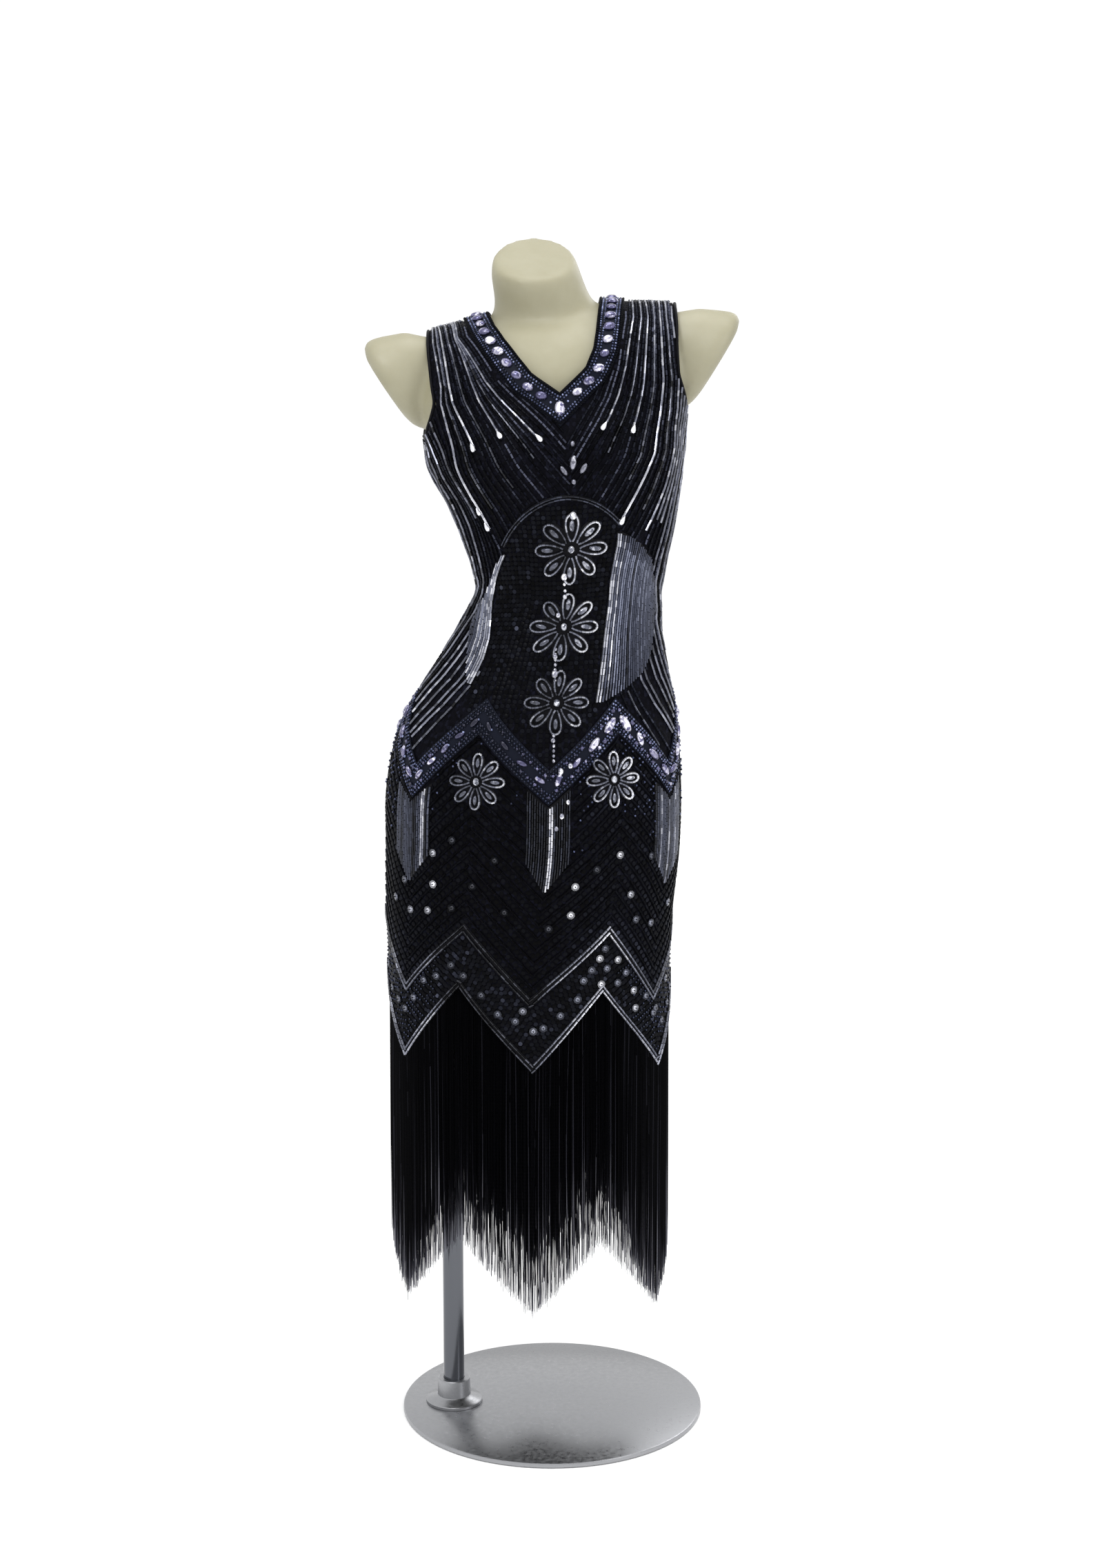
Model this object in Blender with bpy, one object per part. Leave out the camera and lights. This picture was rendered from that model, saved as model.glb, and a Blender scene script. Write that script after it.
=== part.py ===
"""Beaded flapper dress on a limbless dress form, with its pole and round foot.

The frame: +Z up, the front of the dress faces -Y, the origin is the middle of the foot's underside.
Tables are in millimetres and degrees. Angles run round the body: 0 is the front, +90 the side at +X and
180 the back.
"""
import math

import bmesh
import bpy
import numpy as np
from mathutils import Vector

MM = 0.001


def named(columns, table):
    """The rows of a table, each by its columns' names."""
    return [dict(zip(columns, row)) for row in table]


# ---- driving sizes, mm ----
CLOTH = 2.0  # beaded net on its slip
SEAM_GAP = 0.3
LIFT = 0.3  # between a panel and a trim made from the panel's own points
LOOSE_LIFT = 2.0  # between a panel and an applique with points of its own
FORM_CLEARANCE = 3.5  # between the cloth's inside and the form

FRINGE_LENGTH = 292.0
FRINGE_TAPE = 6.0
STRAND_TAPER = 0.8
CELLS_PER_COLUMN = 8  # tape cells in each panel column, every other one carries a strand

POLE_X = -119.0
POLE_RADIUS = 12.5
FOOT_RADIUS = 180.0
FOOT_THICKNESS = 6.0
FORM_BOTTOM = 690.0

# Horizontal sections of the worn dress: height, centre, half width, depth in front and behind,
# how far the pattern is turned round the body, and how much +X rises
SECTION_COLUMNS = ("z", "cx", "cy", "half", "front", "back", "turn", "roll")
SECTIONS = (
    (150, -24, 0, 171, 106, 106, 0, -0.04),
    (450, -25, 0, 169, 105, 105, 1, -0.04),
    (540, -27, 1, 164, 106, 107, 1, -0.04),
    (620, -27, 3, 166, 109, 112, 4, -0.03),
    (700, -23, 5, 170, 112, 118, 6, -0.02),
    (770, -21, 6, 169, 112, 121, 6, 0.0),
    (830, -16, 6, 160, 108, 116, 5, 0.0),
    (880, -7, 5, 144, 102, 106, 3, 0.0),
    (925, 3, 3, 126, 94, 95, 2, 0.0),
    (960, 11, 1, 114, 87, 87, 1, 0.0),
    (993, 19, 0, 106, 83, 81, 0, 0.01),
    (1025, 20, -1, 110, 85, 81, 0, 0.03),
    (1060, 18, -2, 120, 90, 84, 2, 0.05),
    (1100, 13, -3, 131, 95, 88, 4, 0.06),
    (1149, 5, -4, 145, 99, 92, 5, 0.07),
    (1172, 4, -4, 147, 99, 93, 5, 0.08),
    (1224, 1, -1, 158, 92, 88, 5, 0.11),
)
CUP = {"z": 1150.0, "apart": 68.0, "rise": 22.0, "wide": 46.0, "high": 44.0}

# Rows of the panels below the armholes: height at the low points and at the peaks of the chevrons
SKIRT_ROWS = named(("low", "peak"), (
    (450, 546),
    (462, 558),
    (494, 584),
    (528, 612),
    (540, 624),
    (597, 678),
    (654, 733),
    (710, 788),
    (764, 843),
    (804, 883),
    (828, 900),
    (854, 917),
    (883, 934),
    (912, 951),
    (940, 968),
    (968, 986),
    (995, 1004),
    (1022, 1026),
    (1050, 1050),
    (1080, 1080),
    (1110, 1110),
    (1137, 1137),
    (1158, 1158),
    (1176, 1176),
))
HEM_TRIM_ROWS = (0, 1)
CHEVRON_ROWS = (3, 4)
GIRDLE_ROWS = (8, 9)
BAND_THICKNESS = 2.0

# Rows up the armholes: height, then the angle of the cloth's edge on each side of each panel
ARMHOLE_ROWS = named(("z", "front_left", "front_right", "back_left", "back_right"), (
    (1183, -77, 87, -95, 102),
    (1192, -71, 81, -104, 108),
    (1206, -62, 71, -115, 117),
    (1224, -55, 62, -123, 121),
))
YOKE_Z = 1224.0  # the straps arch over the shoulders from here
RIDGE_Y = 12.0
RIDGE = {"near": 62.0, "near_z": 1315.0, "far": 137.0, "far_z": 1304.0}  # shoulder line, two distances out
# Rows over the shoulder: share of the quarter turn, neck edge and armhole edge on each side
YOKE_ROWS = named(("share", "neck_left", "neck_right", "arm_left", "arm_right"), (
    (0.16, -21, 37, -132, 139),
    (0.31, -37, 46, -134, 138),
    (0.47, -51, 49, -136, 138),
    (0.64, -62, 51, -137, 137),
    (0.82, -68, 53, -137, 136),
    (1.00, -71, 54, -137, 136),
))
FRONT_V_X = 9.0
BACK_V_X = -8.0
BACK_V_RAISED = 2  # rows that the back's V ends above the front's

COLUMN_STEP = 10  # degrees; three columns for each side of a chevron
HALF = 9  # columns from a side seam to the middle

ARMPIT_ROW = len(SKIRT_ROWS) - 1
FRONT_V_ROW = ARMPIT_ROW + len(ARMHOLE_ROWS)
BACK_V_ROW = FRONT_V_ROW + BACK_V_RAISED
LAST_ROW = FRONT_V_ROW + len(YOKE_ROWS)


# ---- the body's surface ----
def hermite(table, z):
    """The table's row at height z, on a smooth curve through its rows."""
    rows = np.array(table, float)
    heights = rows[:, 0]
    z = min(max(z, heights[0]), heights[-1])
    k = min(max(int(np.searchsorted(heights, z)) - 1, 0), len(rows) - 2)
    slopes = np.gradient(rows, heights, axis=0)
    span = heights[k + 1] - heights[k]
    t = (z - heights[k]) / span
    return (
        (2 * t**3 - 3 * t**2 + 1) * rows[k]
        + (t**3 - 2 * t**2 + t) * span * slopes[k]
        + (3 * t**2 - 2 * t**3) * rows[k + 1]
        + (t**3 - t**2) * span * slopes[k + 1]
    )


def section(z):
    return dict(zip(SECTION_COLUMNS, hermite(SECTIONS, z)))


def cups(x, z, middle):
    """How far the bust cups stand out in front."""
    rise = 0.0
    for side in (-1, 1):
        across = (x - middle - side * CUP["apart"]) / CUP["wide"]
        up = (z - CUP["z"]) / CUP["high"]
        rise += CUP["rise"] * math.exp(-(across**2) - up**2)
    return rise


def on_body(angle, z, inset=0.0):
    """A point of the worn dress's outside at an angle and a height, or inset below it."""
    s = section(z)
    a = math.radians(angle)
    x = s["cx"] + (s["half"] - inset) * math.sin(a)
    forward = math.cos(a)
    depth = (s["front"] if forward > 0 else s["back"]) - inset
    y = s["cy"] - depth * forward
    if forward > 0:
        middle = s["cx"] + s["half"] * math.sin(math.radians(s["turn"]))
        y -= cups(x, z, middle) * min(1.0, 2 * forward)
    return Vector((x, y, z + s["roll"] * (x - s["cx"]))) * MM


def on_cloth(pattern_angle, z):
    """A point at an angle of the dress's pattern, which is turned round the body."""
    return on_body(pattern_angle + section(z)["turn"], z)


def ridge_height(x):
    share = (abs(x) - RIDGE["near"]) / (RIDGE["far"] - RIDGE["near"])
    return RIDGE["near_z"] + max(share, -0.3) * (RIDGE["far_z"] - RIDGE["near_z"])


def on_yoke(x, share, side):
    """A point of a strap. share is 0 at the chest or back and 1 at the shoulder seam; side is 1 in front."""
    s = section(YOKE_Z)
    across = min(abs(x - s["cx"]) / s["half"], 0.999)
    forward = math.sqrt(1 - across**2)
    y = s["cy"] - side * (s["front"] if side > 0 else s["back"]) * forward
    if side > 0:
        middle = s["cx"] + s["half"] * math.sin(math.radians(s["turn"]))
        y -= cups(x, YOKE_Z, middle) * min(1.0, 2 * forward)
    a = math.radians(90 * share)
    y = RIDGE_Y + (y - RIDGE_Y) * math.cos(a)
    z = YOKE_Z + (ridge_height(x) - YOKE_Z) * math.sin(a)
    return Vector((x, y, z + s["roll"] * (x - s["cx"]))) * MM


def outward(surface, u, v, du, dv):
    """The normal of surface(u, v), away from the body."""
    across = surface(u + du, v) - surface(u - du, v)
    up = surface(u, v + dv) - surface(u, v - dv)
    return across.cross(up).normalized()


# ---- the panels' grid ----
def peak_share(pattern_angle):
    """0 at a chevron's low point, 1 at its peak; six chevrons go round the dress."""
    return abs((pattern_angle / 30 + 1) % 2 - 1)


def row_height(row, pattern_angle):
    r = SKIRT_ROWS[row]
    return r["low"] + (r["peak"] - r["low"]) * peak_share(pattern_angle)


def panel_grid(side, v_x, v_row):
    """Points of a panel by (row, column, half), where half is 0 below the neckline and -1 or 1 on a strap."""
    points = {}
    start = -90 if side > 0 else 270
    for row in range(len(SKIRT_ROWS)):
        for column in range(2 * HALF + 1):
            angle = start + side * COLUMN_STEP * column
            points[row, column, 0] = on_cloth(angle, row_height(row, angle))
    middle = section(YOKE_Z)["turn"] if side > 0 else 180
    for row, r in enumerate(ARMHOLE_ROWS, ARMPIT_ROW + 1):
        left = r["front_left"] if side > 0 else r["back_left"] + 360
        right = r["front_right"] if side > 0 else r["back_right"]
        for column in range(2 * HALF + 1):
            share = (column - HALF) / HALF
            angle = middle + abs(share) * ((left if share < 0 else right) - middle)
            points[row, column, 0] = on_body(angle, r["z"])
    for row, r in enumerate(YOKE_ROWS, FRONT_V_ROW + 1):
        for half, neck, arm in ((-1, r["neck_left"], r["arm_left"]), (1, r["neck_right"], r["arm_right"])):
            inner = neck if row > v_row else v_x
            for k in range(HALF + 1):
                x = inner + (arm - inner) * k / HALF
                points[row, HALF + half * k, half if row > v_row else 0] = on_yoke(x, r["share"], side)
    if v_row == FRONT_V_ROW:
        points[v_row, HALF, 0] = on_yoke(v_x, 0.0, side)
    return points


def panel_cells(v_row):
    """The four grid keys of each cell of a panel, by its row and column."""
    cells = {}
    for row in range(LAST_ROW):
        for column in range(2 * HALF):
            half = -1 if column < HALF else 1
            low, high = (half if row > v_row else 0), (half if row + 1 > v_row else 0)
            cells[row, column] = (
                (row, column, low),
                (row, column + 1, low),
                (row + 1, column + 1, high),
                (row + 1, column, high),
            )
    return cells


def place_key(point):
    return tuple(round(c / MM, 2) for c in point)


class Panel:
    """One panel's grid, with normals that it shares with the other panel at their seams."""

    normals = {}

    def __init__(self, side, v_x, v_row):
        self.side, self.v_row = side, v_row
        self.points = panel_grid(side, v_x, v_row)
        self.cells = panel_cells(v_row)
        for keys in self.cells.values():
            a, b, c, d = (self.points[k] for k in keys)
            normal = (c - a).cross(d - b) * side
            for point in (a, b, c, d):
                key = place_key(point)
                Panel.normals[key] = Panel.normals.get(key, Vector()) + normal

    def on_seam(self, key):
        row, column, _ = key
        at_side = column in (0, 2 * HALF) and row <= ARMPIT_ROW
        return at_side or row == LAST_ROW

    def spot(self, key, lift):
        """A grid point moved out from the panel, and drawn back from a seam by half the gap."""
        point = self.points[key]
        out = Panel.normals[place_key(point)].normalized()
        back_off = -self.side * SEAM_GAP / 2 if self.on_seam(key) else 0.0
        return point + out * lift * MM + Vector((0, back_off * MM, 0)), out

    def between(self, keys, u, v, lift):
        """A point inside a cell, u across and v up it, moved out."""
        corners = [self.spot(k, lift) for k in keys]
        weights = ((1 - u) * (1 - v), u * (1 - v), u * v, (1 - u) * v)
        point = sum((c[0] * w for c, w in zip(corners, weights)), Vector())
        out = sum((c[1] * w for c, w in zip(corners, weights)), Vector())
        return point, out.normalized()


# ---- making solids ----
BEAD = {"inset": 2.0, "slant": 3.0, "height": 3.0}  # a large bead in its cell


def clear_scene():
    for obj in list(bpy.data.objects):
        bpy.data.objects.remove(obj)


def material(name, colour, roughness, metallic=0.0):
    made = bpy.data.materials.new(name)
    made.use_nodes = True
    shader = made.node_tree.nodes["Principled BSDF"]
    shader.inputs["Base Color"].default_value = (*colour, 1)
    shader.inputs["Roughness"].default_value = roughness
    shader.inputs["Metallic"].default_value = metallic
    made.diffuse_color = (*colour, 1)
    return made


def finish(bm, name, finish_material):
    """Makes a bmesh an object with its own material, shaded smooth but for its hard edges."""
    bmesh.ops.recalc_face_normals(bm, faces=bm.faces)
    mesh = bpy.data.meshes.new(name)
    bm.to_mesh(mesh)
    bm.free()
    obj = bpy.data.objects.new(name, mesh)
    bpy.context.scene.collection.objects.link(obj)
    mesh.materials.append(finish_material)
    mesh.shade_smooth()
    mesh.set_sharp_from_angle(angle=math.radians(35))
    return obj


def thicken(bm, depth):
    """Extrudes an open sheet along the directions kept at its points."""
    out = bm.verts.layers.float_vector["out"]
    made = bmesh.ops.extrude_face_region(bm, geom=list(bm.faces), use_keep_orig=True)
    for v in made["geom"]:
        if isinstance(v, bmesh.types.BMVert):
            v.co += Vector(v[out]) * depth * MM
    return [f for f in made["geom"] if isinstance(f, bmesh.types.BMFace)]


def sheet(corner_lists):
    """An open sheet from cells, each a list of (point, outward direction)."""
    bm = bmesh.new()
    out = bm.verts.layers.float_vector.new("out")
    made = {}
    for corners in corner_lists:
        verts = []
        for point, direction in corners:
            key = tuple(round(c / MM, 4) for c in point)
            if key not in made:
                made[key] = bm.verts.new(point)
                made[key][out] = direction
            verts.append(made[key])
        bm.faces.new(verts)
    return bm


def panel_wall(panel, name, cloth):
    """The cloth itself, with its thickness towards the body."""
    bm = sheet([[panel.spot(k, 0.0) for k in keys] for keys in panel.cells.values()])
    thicken(bm, -CLOTH)
    return finish(bm, name, cloth)


def cell_band(panel, name, rows, trim, lift, splits=(0.0, 1.0), raised=None):
    """A trim that lies on whole cells of a panel. raised is the split whose cells get a large bead each."""
    cells, beads = [], []
    for column in range(2 * HALF):
        keys = panel.cells[rows[0], column]
        for part in range(len(splits) - 1):
            low, high = splits[part], splits[part + 1]
            corners = ((0, low), (1, low), (1, high), (0, high))
            cells.append([panel.between(keys, u, v, lift) for u, v in corners])
            beads.append(part == raised)
    return raise_beads(sheet(cells), beads, name, BAND_THICKNESS, trim)


def raise_beads(bm, beads, name, thickness, trim):
    """Thickens a trim and raises a bead on each marked cell of its outside."""
    top = thicken(bm, thickness)
    bmesh.ops.recalc_face_normals(bm, faces=bm.faces)
    marked = [f for f, is_bead in zip(top, beads) if is_bead]
    if marked:
        bmesh.ops.inset_individual(bm, faces=marked, thickness=BEAD["inset"] * MM, depth=0.0)
        bmesh.ops.inset_individual(
            bm, faces=marked, thickness=BEAD["slant"] * MM, depth=BEAD["height"] * MM
        )
    return finish(bm, name, trim)


def loose_strip(name, stations, thickness, trim, raised=None):
    """A trim with points of its own: stations along it, each a row of (point, outward) across it."""
    cells, beads = [], []
    for here, there in zip(stations, stations[1:]):
        for k in range(len(here) - 1):
            cells.append([here[k], here[k + 1], there[k + 1], there[k]])
            beads.append(k == raised)
    return raise_beads(sheet(cells), beads, name, thickness, trim)


def cloth_spot(pattern_angle, z, lift=LOOSE_LIFT):
    """A point just off the cloth, with its outward direction."""
    out = outward(on_cloth, pattern_angle, z, 0.5, 1.0)
    return on_cloth(pattern_angle, z) + out * lift * MM, out


def yoke_spot(x, share, side, lift):
    """A point just off a strap, with its outward direction."""

    def strap(a, b):
        return on_yoke(a, b, side)

    out = outward(strap, x, min(share, 0.98), 0.5, 0.01) * side
    back_off = -side * SEAM_GAP / 2 if share >= 1 else 0.0
    return on_yoke(x, share, side) + out * lift * MM + Vector((0, back_off * MM, 0)), out


def upper_spot(x, up, side, lift):
    """A point just off the chest, the back or a strap, at a length up from the strap's foot."""
    if up >= 0:
        return yoke_spot(x, min(up / yoke_length(side), 1.0), side, lift)
    s = section(YOKE_Z + up)
    angle = math.degrees(math.asin((x - s["cx"]) / s["half"]))
    return cloth_spot((angle if side > 0 else 180 - angle) - s["turn"], YOKE_Z + up, lift)


def mm_to_angle(pattern_angle, z):
    """Degrees of the pattern for each millimetre along the cloth."""
    step = on_cloth(pattern_angle + 0.5, z) - on_cloth(pattern_angle - 0.5, z)
    return MM / step.length


# ---- the dress's pieces ----
GIRDLE_LINES = (0.0, 0.22, 0.78, 1.0)  # shares of the girdle's width; its jewels are between the middle two

NECK_BAND = (1.0, 7.0, 22.0, 28.0)  # distances of the band's lines from the neck edge
NECK_BAND_THICKNESS = 2.0
NECK_BAND_LIFT = 2.3
NECK_BEAD_PITCH = 19.0
LONGEST_MITRE = 1.7


def yoke_length(side):
    """About how long the cloth is from the chest or the back up to the shoulder seam."""
    s = section(YOKE_Z)
    across = abs(RIDGE_Y - s["cy"] + side * (s["front"] if side > 0 else s["back"]))
    up = RIDGE["near_z"] - YOKE_Z
    return math.pi / 2 * math.sqrt((across**2 + up**2) / 2)


def neck_line(side, v_x, v_row):
    """The neck edge as (x, length above the strap's foot), from the left shoulder to the right."""
    length = yoke_length(side)
    straps = YOKE_ROWS[v_row - FRONT_V_ROW :]
    left = [(r["neck_left"], r["share"] * length) for r in straps]
    right = [(r["neck_right"], r["share"] * length) for r in straps]
    v_share = YOKE_ROWS[v_row - FRONT_V_ROW - 1]["share"] if v_row > FRONT_V_ROW else 0.0
    line = left[::-1] + [(v_x, v_share * length)] + right
    dense = []
    for (x0, u0), (x1, u1) in zip(line, line[1:]):
        steps = max(round(math.hypot(x1 - x0, u1 - u0) / NECK_BEAD_PITCH), 1)
        dense += [(x0 + (x1 - x0) * k / steps, u0 + (u1 - u0) * k / steps) for k in range(steps)]
    return dense + [line[-1]]


def mitres(line):
    """For each point of a line, the way to move it so that the whole line moves by one, away from the neck."""
    normals = []
    for (x0, u0), (x1, u1) in zip(line, line[1:]):
        length = math.hypot(x1 - x0, u1 - u0)
        normals.append(((u1 - u0) / length, -(x1 - x0) / length))
    moves = [(1.0 / normals[0][0], 0.0)]
    for (ax, au), (bx, bu) in zip(normals, normals[1:]):
        turn = max(1 + ax * bx + au * bu, 1 / LONGEST_MITRE)
        moves.append(((ax + bx) / turn, (au + bu) / turn))
    moves.append((1.0 / normals[-1][0], 0.0))
    return moves


def neck_band(name, side, v_x, v_row, trim):
    """The jewelled band round one panel's neckline, from shoulder seam to shoulder seam."""
    line = neck_line(side, v_x, v_row)
    stations = []
    for (x, up), (dx, du) in zip(line, mitres(line)):
        stations.append([upper_spot(x + dx * d, up + du * d, side, NECK_BAND_LIFT) for d in NECK_BAND])
    return loose_strip(name, stations, NECK_BAND_THICKNESS, trim, raised=1)


ARCH = {
    "left": -37.5,
    "middle": -3.0,
    "right": 24.5,
    "top": 1107.0,
    "fall": 0.043,  # millimetres for each degree from the middle, squared
    "width": 6.0,
    "thickness": 1.5,
    "stations": 20,
}


def under_bust_arch(trim):
    """The beaded arch under the bust, over the column of flowers."""
    stations = []
    for k in range(ARCH["stations"] + 1):
        angle = ARCH["left"] + (ARCH["right"] - ARCH["left"]) * k / ARCH["stations"]
        away = angle - ARCH["middle"]
        z = ARCH["top"] - ARCH["fall"] * away**2
        per_mm = mm_to_angle(angle, z)
        slope = -2 * ARCH["fall"] * away * per_mm
        length = math.hypot(1, slope)
        row = []
        for d in (0.0, ARCH["width"]):
            row.append(cloth_spot(angle - slope / length * d * per_mm, z + d / length))
        stations.append(row)
    return loose_strip("under_bust_arch", stations, ARCH["thickness"], trim)


FLOWERS = named(("name", "angle", "z", "radius"), (
    ("flower_centre_top", 0, 1052, 40),
    ("flower_centre_middle", 0, 964, 38),
    ("flower_centre_low", 2, 880, 36),
    ("flower_hip_left", -28.5, 790, 32),
    ("flower_hip_right", 26.5, 791, 32),
    ("flower_back_hip_left", -150, 790, 32),
    ("flower_back_hip_right", 150, 790, 32),
))
PETALS = 8
POINTS_PER_PETAL = 3
FLOWER_THICKNESS = 1.6
FLOWER_RINGS = (0.2, 0.6, 1.0)  # shares of the radius
PETAL_NOTCH = 0.4
PETAL_CROWN = 1.6  # how far the petals' middles stand up


def flower(f, trim):
    """Eight raised petals round a boss, in one low solid wrapped on the cloth."""
    per_mm = mm_to_angle(f["angle"], f["z"])
    count = PETALS * POINTS_PER_PETAL
    rings = []
    for share in FLOWER_RINGS:
        ring = []
        for k in range(count):
            turn = 2 * math.pi * (k + 0.5) / count
            lobe = PETAL_NOTCH + (1 - PETAL_NOTCH) * abs(math.cos(PETALS * turn / 2))
            reach = f["radius"] * share * lobe
            angle = f["angle"] + reach * math.sin(turn) * per_mm
            ring.append(cloth_spot(angle, f["z"] + reach * math.cos(turn)))
        rings.append(ring)
    middle = cloth_spot(f["angle"], f["z"])
    cells = []
    for k in range(count):
        n = (k + 1) % count
        cells.append([middle, rings[0][k], rings[0][n]])
        for inner, outer in zip(rings, rings[1:]):
            cells.append([inner[k], outer[k], outer[n], inner[n]])
    bm = sheet(cells)
    out = bm.verts.layers.float_vector["out"]
    top = thicken(bm, FLOWER_THICKNESS)
    for v in {v for face in top for v in face.verts}:
        reach = (v.co - middle[0]).length / MM / f["radius"]
        crown = PETAL_CROWN * math.exp(-(((reach - 0.5) / 0.25) ** 2))
        v.co += Vector(v[out]) * crown * MM
    return finish(bm, f["name"], trim)


# Leaves of bugle beads at the waist's sides: height, and the angles of the inner and the outer edge
LEAF_COLUMNS = ("z", "inner", "outer")
WIDE_LEAF = named(LEAF_COLUMNS, (
    (1068, 24.5, 27),
    (1055, 25, 40),
    (1035, 25, 54),
    (1010, 24.5, 63),
    (985, 24.5, 66),
    (955, 23.5, 63),
    (930, 22.5, 57),
    (910, 21.5, 49),
    (892, 20.5, 35),
    (879, 19.5, 23),
))
NARROW_LEAF = named(LEAF_COLUMNS, (
    (1047, 38, 40.5),
    (1033, 43, 47.5),
    (1016, 48.5, 54),
    (1000, 52, 60),
    (984, 51.5, 65),
    (967, 46, 64.5),
    (948, 42, 60),
    (928, 40.5, 53.5),
    (908, 41, 48),
    (897, 41.5, 43.5),
))
LEAF_CELLS = 5
TONGUE_THICKNESS = 1.6


def leaf(name, edges, from_middle, trim):
    """A leaf of hanging beads, wrapped on the cloth; from_middle gives the pattern's angle."""
    stations = []
    for e in edges:
        line = []
        for column in range(LEAF_CELLS + 1):
            angle = e["inner"] + (e["outer"] - e["inner"]) * column / LEAF_CELLS
            line.append(cloth_spot(from_middle(angle), e["z"]))
        stations.append(line)
    return loose_strip(name, stations, TONGUE_THICKNESS, trim)


# Pendants of bugle beads under the girdle: angle of the pattern, width, heights of the top and the tip,
# how far the sides stop short of the tip, and the top's slope from its middle
CHEVRON_SLOPE = 0.9
TONGUES = named(("name", "angle", "width", "top", "tip", "short", "slope"), (
    ("pendant_front_centre", 0, 50, 762, 662, 36, CHEVRON_SLOPE),
    ("pendant_front_left", -60, 50, 762, 662, 36, CHEVRON_SLOPE),
    ("pendant_front_right", 60, 50, 762, 662, 36, CHEVRON_SLOPE),
    ("pendant_back_centre", 180, 50, 762, 662, 36, CHEVRON_SLOPE),
    ("pendant_back_left", -120, 50, 762, 662, 36, CHEVRON_SLOPE),
    ("pendant_back_right", 120, 50, 762, 662, 36, CHEVRON_SLOPE),
))
TONGUE_GRID = (4, 5)  # cells across and down


def tongue(t, trim):
    """A long pointed tongue of hanging beads, wrapped on the cloth."""
    stations = []
    for k in range(TONGUE_GRID[1] + 1):
        down = k / TONGUE_GRID[1]
        angle = t["angle"]
        line = []
        for column in range(TONGUE_GRID[0] + 1):
            across = 2 * column / TONGUE_GRID[0] - 1
            reach = across * t["width"] / 2
            top = t["top"] + t["slope"] * abs(reach)
            foot = t["tip"] + t["short"] * abs(across)
            z = top + (foot - top) * down
            line.append(cloth_spot(angle + reach * mm_to_angle(angle, z), z))
        stations.append(line)
    return loose_strip(t["name"], stations, TONGUE_THICKNESS, trim)


# Armhole bindings: how far the roll stands beyond the cloth's edge, and its section
BINDING = {"beyond": 2.6, "half_width": 2.2, "half_depth": 1.6}


def binding(name, front, back, at_left, trim):
    """The rolled binding round one armhole, a closed ring just past the cloth's edge."""
    column = 0 if at_left else 2 * HALF
    half = -1 if at_left else 1
    rows = range(ARMPIT_ROW, LAST_ROW + 1)
    path = [(front, r) for r in rows] + [(back, r) for r in reversed(rows)][1:-1]
    line = []
    for panel, row in path:
        key = (row, column, half if row > panel.v_row else 0)
        inner_key = (row, column - half, key[2])
        point, out = panel.points[key], Panel.normals[place_key(panel.points[key])].normalized()
        away = (point - panel.points[inner_key]).normalized()
        if row == ARMPIT_ROW:
            below = panel.points[(row - 1, column, 0)]
            away = (point - below).normalized()
        line.append([point, out, away])
    bm = bmesh.new()
    rings = []
    for k, (point, out, away) in enumerate(line):
        ahead, behind = line[(k + 1) % len(line)][0], line[k - 1][0]
        along = (ahead - behind).normalized()
        away = (away - along * away.dot(along)).normalized()
        out = away.cross(along).normalized() * (1 if away.cross(along).dot(out) > 0 else -1)
        centre = point + away * BINDING["beyond"] * MM - out * (CLOTH / 2) * MM
        w, d = BINDING["half_width"] * MM, BINDING["half_depth"] * MM
        corners = (centre + away * w, centre + out * d, centre - away * w, centre - out * d)
        rings.append([bm.verts.new(c) for c in corners])
    for k, here in enumerate(rings):
        there = rings[(k + 1) % len(rings)]
        for c in range(4):
            bm.faces.new((here[c], here[(c + 1) % 4], there[(c + 1) % 4], there[c]))
    return finish(bm, name, trim)


def fringe(panel, name, strands):
    """A tape along the chevron hem, just below the cloth's edge, with strands drawn down from it."""
    bm = bmesh.new()
    drop = Vector((0, 0, -FRINGE_TAPE * MM))
    top, low = [], []
    for column in range(2 * HALF + 1):
        keys = panel.cells[0, min(column, 2 * HALF - 1)]
        u = 0.0 if column < 2 * HALF else 1.0
        point, out = panel.between(keys, u, 0, 0.0)
        outer = point + Vector((0, 0, -2 * SEAM_GAP * MM))
        top.append((outer, outer - out * CLOTH * MM))
    corners = [[bm.verts.new(p) for p in pair] for pair in top]
    for (a, b), (c, d) in zip(top, top[1:]):
        for k in range(CELLS_PER_COLUMN):
            u = k / CELLS_PER_COLUMN
            low.append([bm.verts.new(a.lerp(c, u) + drop), bm.verts.new(b.lerp(d, u) + drop)])
    low.append([bm.verts.new(p + drop) for p in top[-1]])
    undersides = []
    for k in range(len(low) - 1):
        undersides.append(bm.faces.new((low[k][0], low[k + 1][0], low[k + 1][1], low[k][1])))
    for column in range(2 * HALF):
        here, there = corners[column], corners[column + 1]
        under = low[column * CELLS_PER_COLUMN : (column + 1) * CELLS_PER_COLUMN + 1]
        bm.faces.new((here[0], here[1], there[1], there[0]))
        for face in (0, 1):
            bm.faces.new([here[face]] + [pair[face] for pair in under] + [there[face]])
    for k in (0, -1):
        bm.faces.new((corners[k][0], low[k][0], low[k][1], corners[k][1]))
    bmesh.ops.recalc_face_normals(bm, faces=bm.faces)
    drawn = bmesh.ops.extrude_discrete_faces(bm, faces=undersides[::2])["faces"]
    for face in drawn:
        middle = face.calc_center_median()
        for v in face.verts:
            v.co = middle + (v.co - middle) * STRAND_TAPER + Vector((0, 0, -FRINGE_LENGTH * MM))
    return finish(bm, name, strands)


# ---- the dress form and its stand ----
FORM_COLUMNS = 24
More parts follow.
